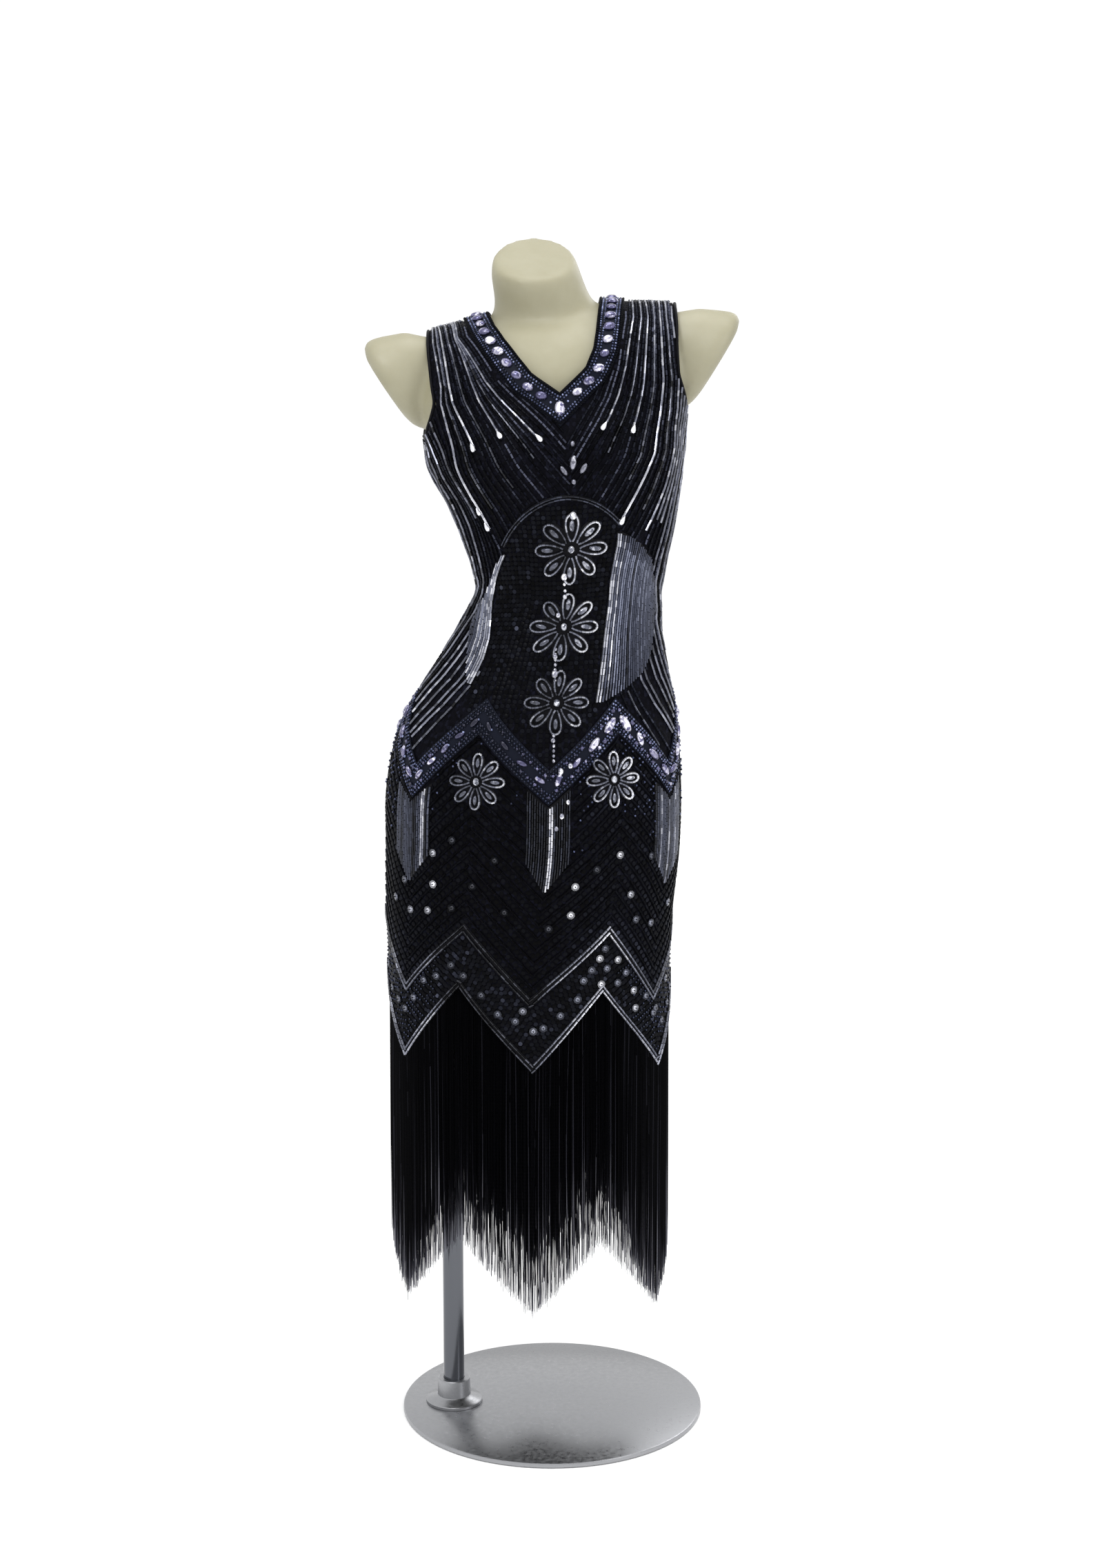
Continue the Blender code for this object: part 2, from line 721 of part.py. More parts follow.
# The form's underside rounds into its sides: height, share of the section's size
FORM_FOOT = ((FORM_BOTTOM, 0.82), (FORM_BOTTOM + 4, 0.93), (FORM_BOTTOM + 14, 0.985))
FORM_HEIGHTS = (730, 770, 810, 850, 890, 925, 960, 993, 1025, 1060, 1095, 1125, 1150, 1185, YOKE_Z)
LEVEL_BELOW = 760  # the rings of the form are level below here
# The form over the shoulders: share of the quarter turn, share of the section's width
FORM_YOKE = ((0.18, 0.985), (0.36, 0.96), (0.54, 0.93), (0.72, 0.90), (0.88, 0.875), (1.0, 0.86))
FORM_RIDGE_DROP = 5.5

# Rings of the neck: height, centre, half width, half depth; the cut at the top slopes to the front
NECK_RINGS = named(("z", "cx", "cy", "half", "deep"), (
    (1270, 0, 14, 70, 46),
    (1296, 0, 12, 71, 48),
    (1311, -4, 8, 61, 49),
    (1322, -9, 5, 55, 50),
    (1340, -15, 2, 52, 50),
    (1354, -18, 0, 49.5, 50),
    (1368, -20, -2, 46.5, 50),
))
NECK_SIDES = 22
CAP_SIDES = 18
NECK_CUT_SLOPE = math.tan(math.radians(26))
NECK_LEVEL_BELOW = 1322  # the rings slope more and more from here to the cut
# Rings of a shoulder cap: middle, lean, half height, half depth and how far the right one stands higher
CAP_RINGS = named(("x", "z", "lean", "high", "deep", "roll"), (
    (104, 1244, 0, 38, 26, 0.11),
    (131, 1249, 8, 46, 30, 0.10),
    (150, 1249, 17, 53, 35, 0.08),
    (171, 1242, 28, 60, 41, 0.075),
    (180, 1241, 30, 58, 40, 0.075),
    (188, 1238, 32, 38, 28, 0.075),
))
CAP_MIDDLE = 2  # the caps sit a little behind the middle plane
CAP_PINCH = 0.14  # how much narrower a cap is below than above


def loft(bm, rings):
    """Closed skin over rings of points, flat at both ends."""
    made = [[bm.verts.new(p) for p in ring] for ring in rings]
    for here, there in zip(made, made[1:]):
        for k in range(len(here)):
            n = (k + 1) % len(here)
            bm.faces.new((here[k], here[n], there[n], there[k]))
    bm.faces.new(made[0])
    bm.faces.new(made[-1])


def torso():
    """The body of the form from its flat underside to the shoulder line."""
    inset = CLOTH + FORM_CLEARANCE
    rings = []
    angles = [360 * k / FORM_COLUMNS for k in range(FORM_COLUMNS)]
    for z, share in FORM_FOOT + tuple((z, 1.0) for z in FORM_HEIGHTS):
        s = section(z)
        middle = Vector((s["cx"], s["cy"], z)) * MM
        ring = []
        for angle in angles:
            p = on_body(angle, z, inset)
            p = middle + (p - middle) * share
            ring.append(Vector((p.x, p.y, z * MM if z < LEVEL_BELOW else p.z)))
        rings.append(ring)
    s = section(YOKE_Z)
    top = []
    for share, width in FORM_YOKE:
        a = math.radians(90 * share)
        ring = []
        for angle in angles:
            x = s["cx"] + (s["half"] - inset) * width * math.sin(math.radians(angle))
            low = on_body(angle, YOKE_Z, inset)
            y = RIDGE_Y + (low.y / MM - RIDGE_Y) * math.cos(a)
            high = ridge_height(x) - FORM_RIDGE_DROP - YOKE_Z
            z = YOKE_Z + high * math.sin(a)
            ring.append(Vector((x, y, z + s["roll"] * (x - s["cx"]))) * MM)
        top.append(ring)
    bm = bmesh.new()
    loft(bm, rings + top[:-1])
    bmesh.ops.delete(bm, geom=[f for f in bm.faces if is_cap(f, rings, top)], context="FACES_ONLY")
    close_ridge(bm, top[-2], top[-1])
    bmesh.ops.remove_doubles(bm, verts=bm.verts, dist=0.00005)
    return bm


def is_cap(face, rings, top):
    return len(face.verts) == FORM_COLUMNS and face.calc_center_median().z > rings[-1][0].z


def close_ridge(bm, below, ridge):
    """Joins the last ring to the shoulder line, where the front and back points meet."""
    count = len(below)
    bm.verts.ensure_lookup_table()
    ring = [min(bm.verts, key=lambda v, p=p: (v.co - p).length) for p in below]
    line = {}
    for k in range(count):
        twin = (count // 2 - k) % count
        if twin in line:
            line[k] = line[twin]
        else:
            line[k] = bm.verts.new(ridge[k])
    for k in range(count):
        n = (k + 1) % count
        corners = [ring[k], ring[n], line[n], line[k]]
        if line[n] is line[k]:
            corners = corners[:3]
        bm.faces.new(corners)


def neck_rings():
    rings = []
    high = NECK_RINGS[-1]["z"]
    for r in NECK_RINGS:
        ring = []
        share = max((r["z"] - NECK_LEVEL_BELOW) / (high - NECK_LEVEL_BELOW), 0.0)
        for k in range(NECK_SIDES):
            a = 2 * math.pi * k / NECK_SIDES
            x = r["cx"] + r["half"] * math.sin(a)
            y = r["cy"] - r["deep"] * math.cos(a)
            ring.append(Vector((x, y, r["z"] + NECK_CUT_SLOPE * share * (y - r["cy"]))) * MM)
        rings.append(ring)
    return rings


def cap_rings(side):
    rings = []
    for r in CAP_RINGS:
        ring = []
        for k in range(CAP_SIDES):
            a = 2 * math.pi * k / CAP_SIDES
            along = r["high"] * math.cos(a)
            lean = math.radians(r["lean"])
            x = side * (r["x"] + along * math.sin(lean))
            z = r["z"] + along * math.cos(lean)
            y = CAP_MIDDLE + r["deep"] * math.sin(a) * (1 - CAP_PINCH + CAP_PINCH * math.cos(a))
            ring.append(Vector((x, y, z + r["roll"] * x)) * MM)
        rings.append(ring)
    return rings


def dress_form(finish_material):
    """One smooth shell-like solid: torso, neck and the two shoulder caps."""
    body = finish(torso(), "dress_form", finish_material)
    adds = [neck_rings(), cap_rings(-1), cap_rings(1)]
    for k, rings in enumerate(adds):
        bm = bmesh.new()
        loft(bm, rings)
        tool = finish(bm, f"form_tool_{k}", finish_material)
        tool.hide_render = True
        tool.display_type = "WIRE"
        union = body.modifiers.new(f"join_{k}", "BOOLEAN")
        union.operation = "UNION"
        union.object = tool
    return body


FOOT_EDGE = 2.0
HUB_PROFILE = ((34, 0), (34, 4), (20, 8), (19, 30))  # radius, height over the foot plate
FLANGE_PROFILE = ((17, 46), (17, 8), (38, 6), (38, 0))  # radius, depth under the form


def turned(name, profile, centre_x, finish_material, sides):
    """A turned solid about a vertical axis. A profile off the axis is closed into a ring."""
    bm = bmesh.new()
    verts = [bm.verts.new(Vector((r, 0, z)) * MM) for r, z in profile]
    edges = [bm.edges.new(pair) for pair in zip(verts, verts[1:])]
    if profile[0][0] > 0:
        edges.append(bm.edges.new((verts[-1], verts[0])))
    bmesh.ops.spin(
        bm,
        geom=verts + edges,
        axis=(0, 0, 1),
        cent=(0, 0, 0),
        angle=2 * math.pi,
        steps=sides,
        use_merge=True,
    )
    bmesh.ops.remove_doubles(bm, verts=bm.verts, dist=0.00001)
    bmesh.ops.translate(bm, verts=bm.verts, vec=Vector((centre_x, 0, 0)) * MM)
    return finish(bm, name, finish_material)


def stand(steel, chrome):
    """The round foot, the pole in its hub, and the flange under the form."""
    r, t = FOOT_RADIUS, FOOT_THICKNESS
    plate = [(0, 0), (r - 1, 0), (r, 1), (r, t - FOOT_EDGE), (r - FOOT_EDGE, t), (0, t)]
    turned("foot_plate", plate, 0, steel, 48)
    low = t + SEAM_GAP
    bore = POLE_RADIUS + SEAM_GAP
    hub = [(radius, low + up) for radius, up in HUB_PROFILE]
    turned("foot_hub", [(bore, low)] + hub + [(bore, low + HUB_PROFILE[-1][1])], POLE_X, steel, 24)
    top = FORM_BOTTOM - SEAM_GAP
    flange = [(radius, top - down) for radius, down in FLANGE_PROFILE]
    flange_low = flange[0][1]
    turned("form_flange", [(0, flange_low)] + flange + [(0, top)], POLE_X, steel, 24)
    pole_top = flange_low - SEAM_GAP
    turned("pole", [(0, low), (POLE_RADIUS, low), (POLE_RADIUS, pole_top), (0, pole_top)], POLE_X, chrome, 24)


def main():
    clear_scene()
    cloth = material("beaded_net_black", (0.012, 0.012, 0.018), 0.45)
    silver = material("bead_line_silver", (0.32, 0.32, 0.36), 0.25, 0.6)
    jewel = material("jewel_band_navy", (0.05, 0.05, 0.11), 0.2, 0.3)
    bugle = material("bugle_beads_grey", (0.14, 0.15, 0.19), 0.3, 0.5)
    strands = material("fringe_black", (0.008, 0.008, 0.010), 0.5)
    ivory = material("form_ivory", (0.66, 0.62, 0.46), 0.45)
    steel = material("steel_brushed", (0.55, 0.55, 0.56), 0.3, 1.0)
    chrome = material("steel_polished", (0.6, 0.6, 0.62), 0.12, 1.0)

    front = Panel(1, FRONT_V_X, FRONT_V_ROW)
    back = Panel(-1, BACK_V_X, BACK_V_ROW)
    panel_wall(front, "front_panel", cloth)
    panel_wall(back, "back_panel", cloth)

    for panel, place in ((front, "front"), (back, "back")):
        cell_band(panel, f"hem_trim_{place}", HEM_TRIM_ROWS, silver, LIFT)
        cell_band(panel, f"chevron_trim_{place}", CHEVRON_ROWS, silver, LIFT)
        cell_band(panel, f"girdle_{place}", GIRDLE_ROWS, jewel, LOOSE_LIFT, GIRDLE_LINES, raised=1)
        fringe(panel, f"fringe_{place}", strands)
    neck_band("neck_band_front", 1, FRONT_V_X, FRONT_V_ROW, jewel)
    neck_band("neck_band_back", -1, BACK_V_X, BACK_V_ROW, jewel)
    under_bust_arch(silver)
    for f in FLOWERS:
        flower(f, silver)
    leaf("side_beads_front_right", WIDE_LEAF, lambda angle: angle, bugle)
    leaf("side_beads_front_left", NARROW_LEAF, lambda angle: -angle, bugle)
    leaf("side_beads_back_right", WIDE_LEAF, lambda angle: 180 - angle, bugle)
    leaf("side_beads_back_left", WIDE_LEAF, lambda angle: 180 + angle, bugle)
    for t in TONGUES:
        tongue(t, bugle)
    binding("armhole_binding_left", front, back, True, cloth)
    binding("armhole_binding_right", front, back, False, cloth)
    dress_form(ivory)
    stand(steel, chrome)


main()
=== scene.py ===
# Beaded flapper dress on a limbless dress form and its stand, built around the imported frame.
# Tables are in millimetres and degrees. Angles run round the dress: 0 is its front middle, 90 the side at +X.
# On a panel, a is the angle from its own middle towards +X; face is 1 for the front and -1 for the back.
import math

import bmesh
import bpy
import numpy as np
from mathutils import Matrix, Vector


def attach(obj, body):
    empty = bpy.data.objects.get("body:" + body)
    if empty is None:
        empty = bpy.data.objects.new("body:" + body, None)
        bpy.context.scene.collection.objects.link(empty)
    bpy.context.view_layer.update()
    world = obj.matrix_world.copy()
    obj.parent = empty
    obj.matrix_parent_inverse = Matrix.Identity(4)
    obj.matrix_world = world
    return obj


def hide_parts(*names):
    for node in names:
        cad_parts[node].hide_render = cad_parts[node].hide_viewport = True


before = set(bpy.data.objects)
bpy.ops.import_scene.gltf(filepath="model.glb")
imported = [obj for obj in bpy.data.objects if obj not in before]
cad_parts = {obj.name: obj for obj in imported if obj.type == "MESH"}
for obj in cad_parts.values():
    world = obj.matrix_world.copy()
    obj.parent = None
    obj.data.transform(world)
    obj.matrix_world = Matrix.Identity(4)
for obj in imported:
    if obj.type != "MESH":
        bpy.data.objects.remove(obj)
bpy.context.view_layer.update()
print("frame:", len(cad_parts), "nodes")

mm = 0.001
weld = 0.02 * mm
seamGap = 0.3
endOf = {1: "front", -1: "back"}
draw = np.random.default_rng(7)

# The worn dress in level sections: height, centre, half width, depth in front and behind, how far the
# pattern is turned round the body, and how much +X rises
sectionColumns = ("z", "cx", "cy", "half", "front", "back", "turn", "roll")
sections = np.array((
    (150, -24, 0, 171, 106, 106, 0, -0.04), (450, -25, 0, 169, 105, 105, 1, -0.04),
    (540, -27, 1, 164, 106, 107, 1, -0.04), (620, -27, 3, 166, 109, 112, 4, -0.03),
    (700, -23, 5, 170, 112, 118, 6, -0.02), (770, -21, 6, 169, 112, 121, 6, 0.0),
    (830, -16, 6, 160, 108, 116, 5, 0.0), (880, -7, 5, 144, 102, 106, 3, 0.0),
    (925, 3, 3, 126, 94, 95, 2, 0.0), (960, 11, 1, 114, 87, 87, 1, 0.0), (993, 19, 0, 106, 83, 81, 0, 0.01),
    (1025, 20, -1, 110, 85, 81, 0, 0.03), (1060, 18, -2, 120, 90, 84, 2, 0.05),
    (1100, 13, -3, 131, 95, 88, 4, 0.06), (1149, 5, -4, 145, 99, 92, 5, 0.07),
    (1172, 4, -4, 147, 99, 93, 5, 0.08), (1224, 1, -1, 158, 92, 88, 5, 0.11),
))
sectionHeights = sections[:, 0]
sectionSlopes = np.gradient(sections, sectionHeights, axis=0)

# The bust, and the shoulders: where the straps start, and their seam's depth, ends and highest rise
cup = {"z": 1150, "apart": 68, "rise": 22, "wide": 46, "high": 44}
shoulder = {"foot": 1224, "ridgeY": 12, "near": 62, "nearZ": 1315, "far": 137, "farZ": 1304, "least": -0.3}

# Chevron rows: height at the low points and at the peaks. Six chevrons go round, each with two arms of
# so many degrees
chevronArm = 30
chevronLow = (450, 528, 540, 764, 804, 883, 968, 1050, 1176)
chevronPeak = (546, 612, 624, 843, 883, 934, 986, 1050, 1176)

clothMmPerDegree = 2.2  # about, round the waist
# Soft troughs and ridges of the cloth: angle, height, run, width, depth out, and lean of the run from upright
creases = np.array((
    (-70, 1010, 46, 9, -1.6, 72), (-62, 986, 40, 8, 1.1, 80), (-78, 962, 50, 9, -1.4, 64),
    (72, 1004, 48, 9, -1.5, -70), (66, 978, 38, 8, 1.0, -82), (80, 952, 44, 10, -1.3, -60),
    (-84, 1128, 52, 10, -1.5, 50), (82, 1136, 46, 9, -1.2, -48), (-20, 640, 70, 16, 1.3, 8),
    (34, 650, 84, 18, -1.2, -6), (-48, 610, 64, 14, -1.1, 12), (70, 640, 76, 16, 1.2, -10),
    (-80, 690, 90, 18, -1.4, 6), (4, 575, 60, 15, -1.0, -4), (110, 1000, 50, 10, -1.5, 74),
    (150, 992, 60, 10, -1.6, 86), (205, 1000, 56, 9, -1.4, -84), (246, 1008, 44, 9, -1.3, -70),
    (178, 968, 64, 11, -1.2, 90), (140, 640, 80, 17, 1.3, 8), (188, 620, 70, 16, -1.1, -6),
    (232, 650, 84, 18, 1.2, -8), (262, 680, 72, 15, -1.2, 10),
), float)


def unit(vectors):
    return vectors / np.maximum(np.linalg.norm(vectors, axis=-1, keepdims=True), 1e-6)


def runOf(points):
    # the length along a line of points, at each of them
    return np.concatenate(((0,), np.cumsum(np.linalg.norm(np.diff(points, axis=0), axis=1))))


def sectionAt(z):
    # the body's section at a height, on a smooth curve through the table's rows
    z = np.clip(np.asarray(z, float), sectionHeights[0], sectionHeights[-1])
    k = np.clip(np.searchsorted(sectionHeights, z) - 1, 0, len(sectionHeights) - 2)
    span = (sectionHeights[k + 1] - sectionHeights[k])[..., None]
    t = (z - sectionHeights[k])[..., None] / span
    row = (
        (2 * t**3 - 3 * t**2 + 1) * sections[k]
        + (t**3 - 2 * t**2 + t) * span * sectionSlopes[k]
        + (3 * t**2 - 2 * t**3) * sections[k + 1]
        + (t**3 - t**2) * span * sectionSlopes[k + 1]
    )
    return dict(zip(sectionColumns, np.moveaxis(row, -1, 0)))


def sectionPoint(s, turn, z, out):
    # x and y at a turn round a section, in radians, moved out, with the rise of the bust
    forward = np.cos(turn)
    x = s["cx"] + (s["half"] + out) * np.sin(turn)
    y = s["cy"] - (np.where(forward > 0, s["front"], s["back"]) + out) * forward
    middle = s["cx"] + s["half"] * np.sin(np.radians(s["turn"]))
    for side in (-1, 1):
        across = (x - middle - side * cup["apart"]) / cup["wide"]
        rise = cup["rise"] * np.exp(-(across**2) - ((z - cup["z"]) / cup["high"]) ** 2)
        y = y - rise * np.clip(2 * forward, 0, 1)
    return x, y


def ridgeHeight(x):
    # the shoulder seam, which falls from the neck to the arm
    share = (np.abs(x) - shoulder["near"]) / (shoulder["far"] - shoulder["near"])
    return shoulder["nearZ"] + np.maximum(share, shoulder["least"]) * (shoulder["farZ"] - shoulder["nearZ"])


def strapLength(angle):
    # about how long the cloth is from the chest or the back up to the shoulder seam
    s = sectionAt(shoulder["foot"])
    behind = s["cy"] - shoulder["ridgeY"]
    across = np.where(np.cos(np.radians(angle)) > 0, s["front"] - behind, s["back"] + behind)
    return math.pi / 2 * np.sqrt((across**2 + (shoulder["nearZ"] - shoulder["foot"]) ** 2) / 2)


def creaseOut(angle, z):
    total = np.zeros(np.broadcast(angle, z).shape)
    for middle, height, run, wide, out, lean in creases:
        lean = math.radians(lean)
        dx = ((np.asarray(angle) - middle + 180) % 360 - 180) * clothMmPerDegree
        dz = np.asarray(z) - height
        along = (dx * math.sin(lean) + dz * math.cos(lean)) / run
        aside = (dx * math.cos(lean) - dz * math.sin(lean)) / wide
        total = total + out * np.exp(-(along**2) - aside**2)
    return total


def dressPoint(angle, h):
    # the outside of the cloth, in mm, at a height; past the straps' foot, h runs on along the strap
    angle, h = np.broadcast_arrays(np.asarray(angle, float), np.asarray(h, float))
    low = np.minimum(h, shoulder["foot"])
    s = sectionAt(low)
    x, y = sectionPoint(s, np.radians(angle + s["turn"]), low, creaseOut(angle, low))
    arch = np.radians(90 * np.clip((h - low) / strapLength(angle), 0, 1))
    y = shoulder["ridgeY"] + (y - shoulder["ridgeY"]) * np.cos(arch)
    z = low + (ridgeHeight(x) - shoulder["foot"]) * np.sin(arch) + s["roll"] * (x - s["cx"])
    return np.stack((x, y, z), -1)


def dressNormal(angle, h):
    angle, h = np.asarray(angle), np.minimum(np.asarray(h, float), shoulder["foot"] + strapLength(angle) - 1.5)
    across = dressPoint(angle + 0.4, h) - dressPoint(angle - 0.4, h)
    return unit(np.cross(across, dressPoint(angle, h + 1) - dressPoint(angle, h - 1)))


def chevron(low, angle):
    # the height of the chevron row whose low points are at low
    return low + (np.interp(low, chevronLow, chevronPeak) - low) * peakShare(angle)


def peakShare(angle):
    return np.abs((np.asarray(angle) / chevronArm + 1) % 2 - 1)


def panelAngle(face, a):
    return a if face > 0 else 180 - np.asarray(a)


def clothPoint(face, a, h):
    return dressPoint(panelAngle(face, a), h)


def onPanel(face, a, h, lift):
    angle = panelAngle(face, a)
    return dressPoint(angle, h) + dressNormal(angle, h) * np.broadcast_to(lift, np.shape(angle))[..., None]


def degreesPerMm(face, a, h):
    # across the cloth at a place
    a = np.asarray(a, float)
    return 1 / np.linalg.norm(clothPoint(face, a + 0.5, h) - clothPoint(face, a - 0.5, h), axis=-1)


def fromX(face, x, h):
    # degrees from a panel's middle for a distance from the middle plane
    s = sectionAt(np.minimum(h, shoulder["foot"]))
    sine = np.clip((np.asarray(x, float) - s["cx"]) / s["half"], -1, 1)
    return np.degrees(np.arcsin(sine)) - face * s["turn"]


def srgb(code):
    # a hex colour as linear RGBA
    parts = [int(code[k : k + 2], 16) / 255 for k in (0, 2, 4)]
    return (*[c / 12.92 if c <= 0.04045 else ((c + 0.055) / 1.055) ** 2.4 for c in parts], 1.0)


def addNode(tree, kind, inputs=(), links=(), into=None, stops=(), **settings):
    # one shader node; into takes its first output, and stops are a ramp's places with hex or grey tones
    node = tree.nodes.new("ShaderNode" + kind)
    for key, value in settings.items():
        setattr(node, key, value)
    for socket, value in dict(inputs).items():
        node.inputs[socket].default_value = value
    for socket, source in dict(links).items():
        tree.links.new(source, node.inputs[socket])
    elements = node.color_ramp.elements if stops else ()
    while len(elements) < len(stops):
        elements.new(0.5)
    for element, (place, tone) in zip(elements, stops):
        element.position = place
        element.color = srgb(tone) if isinstance(tone, str) else (tone, tone, tone, 1)
    if into:
        tree.links.new(node.outputs[0], into)
    return node.outputs


finishes = {}


def newMaterial(key, name, **sockets):
    made = finishes[key] = bpy.data.materials.new(name)
    made.use_nodes = True
    shader = made.node_tree.nodes["Principled BSDF"].inputs
    for socket, value in sockets.items():
        shader[socket.replace("_", " ")].default_value = value
    return made.node_tree, shader


# Black net over a black slip, closely sewn with tiny black sequins: dull black that turns blue-grey
# where a sequin catches the light
netFinish = {
    "size": 3.6, "tones": ((0.0, "07070a"), (0.75, "0b0b11"), (1.0, "14151f")),
    "rough": ((0.0, 0.32), (1.0, 0.7)), "dome": ((0.0, 1.0), (0.55, 0.6), (0.8, 0.0)),
}


def beadedNet():
    tree, shader = newMaterial("net", "sequinned black net", Roughness=0.5, Specular_IOR_Level=0.02)
    place = addNode(tree, "TexCoord")["UV"]
    inputs = {"Scale": 1 / (netFinish["size"] * mm), "Randomness": 0.55}
    cells = addNode(tree, "TexVoronoi", inputs, {"Vector": place})
    tone = addNode(tree, "SeparateColor", links={"Color": cells["Color"]})
    addNode(tree, "ValToRGB", (), {"Fac": tone["Red"]}, shader["Base Color"], netFinish["tones"])
    addNode(tree, "ValToRGB", (), {"Fac": tone["Green"]}, shader["Roughness"], netFinish["rough"])
    dome = addNode(tree, "ValToRGB", (), {"Fac": cells["Distance"]}, stops=netFinish["dome"])
    addNode(tree, "Bump", {"Strength": 0.7, "Distance": 0.0006}, {"Height": dome["Color"]}, shader["Normal"])


beadedNet()


# Beads and cords. The attribute is painted light: how bright each one is, painted into its colour as the
# glints and shade that real beads show as they turn on their thread
def shining(key, name, stops, **sockets):
    tree, shader = newMaterial(key, name, **sockets)
    shine = addNode(tree, "Attribute", attribute_name="shine")["Fac"]
    addNode(tree, "ValToRGB", (), {"Fac": shine}, shader["Base Color"], stops)
    return tree, shader


# Silver-lined, hematite and navy glass beads: a bright metal lining seen through clear or tinted glass
glassBeads = (
    ("silver", "silver-lined bugle beads", ("0b0c11", "747785", "e2e3ea"), 0.22),
    ("gunmetal", "hematite bugle beads", ("0f1016", "464a5a", "8f94a8"), 0.28),
    ("navyGlass", "navy glass seed beads", ("0b0f1d", "363d5a", "8189ac"), 0.24),
)
lining = {"Metallic": 0.75, "Coat_Weight": 0.2, "Coat_Roughness": 0.08}
for key, name, tones, rough in glassBeads:
    shining(key, name, tuple(zip((0.0, 0.5, 1.0), tones)), Roughness=rough, **lining)

# Cut glass stones with a foiled back: lilac, hematite or clear, each facet painted its own brightness as a
# painted reflection, scaled by the painted shine
cutStones = (
    ("stone", "foiled lilac stones", ("13142a", "5c5a80", "eeecf9")),
    ("hematiteStone", "hematite stones", ("101116", "555866", "d6d8e2")),
    ("crystal", "foiled clear stones", ("2a2b34", "8c8d9c", "f8f8fd")),
)
facets = {"size": 3.4, "play": 0.9, "least": 0.35, "places": (0.0, 0.45, 0.95)}
foiledGlass = {"Metallic": 0.55, "Roughness": 0.12, "IOR": 1.52, "Coat_Weight": 0.4, "Coat_Roughness": 0.03}


def cutStone(key, name, tones):
    tree, shader = newMaterial(key, name, **foiledGlass)
    shine = addNode(tree, "Attribute", attribute_name="shine")["Fac"]
    place = addNode(tree, "TexCoord")["Object"]
    cells = addNode(tree, "TexVoronoi", {"Scale": 1 / (facets["size"] * mm)}, {"Vector": place})
    facet = addNode(tree, "SeparateColor", links={"Color": cells["Color"]})["Red"]
    play = addNode(tree, "Math", {1: facets["play"], 2: facets["least"]}, {0: facet}, operation="MULTIPLY_ADD")
    mixed = addNode(tree, "Math", (), {0: play[0], 1: shine}, operation="MULTIPLY")
    addNode(tree, "ValToRGB", (), {"Fac": mixed[0]}, shader["Base Color"], tuple(zip(facets["places"], tones)))


for row in cutStones:
    cutStone(*row)

# Black glass beads and sequins: near-black, wet-looking gloss; those with a high painted shine are painted up
# to a navy-grey, as painted highlights
blackTones = ((0.0, "040405"), (0.4, "0f1015"), (0.7, "21232c"), (1.0, "4c4f5e"))
shining("black", "black glass beads", blackTones, Roughness=0.28, IOR=1.52, Specular_IOR_Level=0.03)

# Rayon cord fringe: black, silky, with long narrow glints down the strands
cordTones = ((0.0, "030304"), (0.5, "08080b"), (0.8, "2c2c33"), (1.0, "74747d"))
cordTwist = {"Scale": 1 / (2.2 * mm) / 6.28, "Distortion": 1.5}
tree, shader = shining("cord", "black rayon cord", cordTones, Roughness=0.42, Specular_IOR_Level=0.04)
place = addNode(tree, "TexCoord")["Object"]
twist = addNode(tree, "TexWave", cordTwist, {"Vector": place}, bands_direction="Z")["Fac"]
addNode(tree, "Bump", {"Strength": 0.5, "Distance": 0.0002}, {"Height": twist}, shader["Normal"])


# Satin ribbon, black or navy, for bindings and the backing of bands: smooth, with a soft sheen
satinFinish = {"thread": 1.2, "black": "0a0a0e", "navy": "11141f"}


def satin(key, name, code):
    soft = {"Roughness": 0.42, "Sheen_Weight": 0.02, "Specular_IOR_Level": 0.06}
    tree, shader = newMaterial(key, name, Base_Color=srgb(code), **soft)
    place = addNode(tree, "TexCoord")["Object"]
    threads = {"Scale": 1 / (satinFinish["thread"] * mm), "Detail": 3.0, "Roughness": 0.6}
    weave = addNode(tree, "TexNoise", threads, {"Vector": place})["Fac"]
    addNode(tree, "Bump", {"Strength": 0.4, "Distance": 0.0003}, {"Height": weave}, shader["Normal"])


satin("satin", "black satin ribbon", satinFinish["black"])
satin("navySatin", "navy satin ribbon", satinFinish["navy"])

# Painted ivory plastic of a display form: half matt, a little mottled by handling, paler where it is worn
formFinish = {
    "tones": ((0.3, "8c8870"), (0.5, "918d76"), (0.72, "96927c")), "rough": ((0.3, 0.56), (0.7, 0.42)),
    "mottle": 60, "grain": 1.1,
}


def ivoryPlastic():
    under = {"Subsurface_Weight": 0.06, "Subsurface_Radius": (0.01, 0.007, 0.004)}
    tree, shader = newMaterial("ivory", "painted ivory plastic", Roughness=0.5, IOR=1.49, **under)
    place = addNode(tree, "TexCoord")["Object"]
    blotches = {"Scale": 1 / (formFinish["mottle"] * mm), "Detail": 4.0, "Roughness": 0.55}
    mottle = addNode(tree, "TexNoise", blotches, {"Vector": place})["Fac"]
    addNode(tree, "ValToRGB", (), {"Fac": mottle}, shader["Base Color"], formFinish["tones"])
    addNode(tree, "ValToRGB", (), {"Fac": mottle}, shader["Roughness"], formFinish["rough"])
    fine = {"Scale": 1 / (formFinish["grain"] * mm), "Detail": 2.0}
    grain = addNode(tree, "TexNoise", fine, {"Vector": place})["Fac"]
    addNode(tree, "Bump", {"Strength": 0.15, "Distance": 0.0002}, {"Height": grain}, shader["Normal"])


ivoryPlastic()


# Steel, brushed or polished: grey metal whose grain runs round the turned parts. Each is its name, colour,
# least roughness and how much more there is of it
steelFinishes = {
    "steel": ("brushed steel", "9a9b9e", 0.26, 0.14),
    "chrome": ("polished steel tube", "5c5e63", 0.12, 0.06),
}


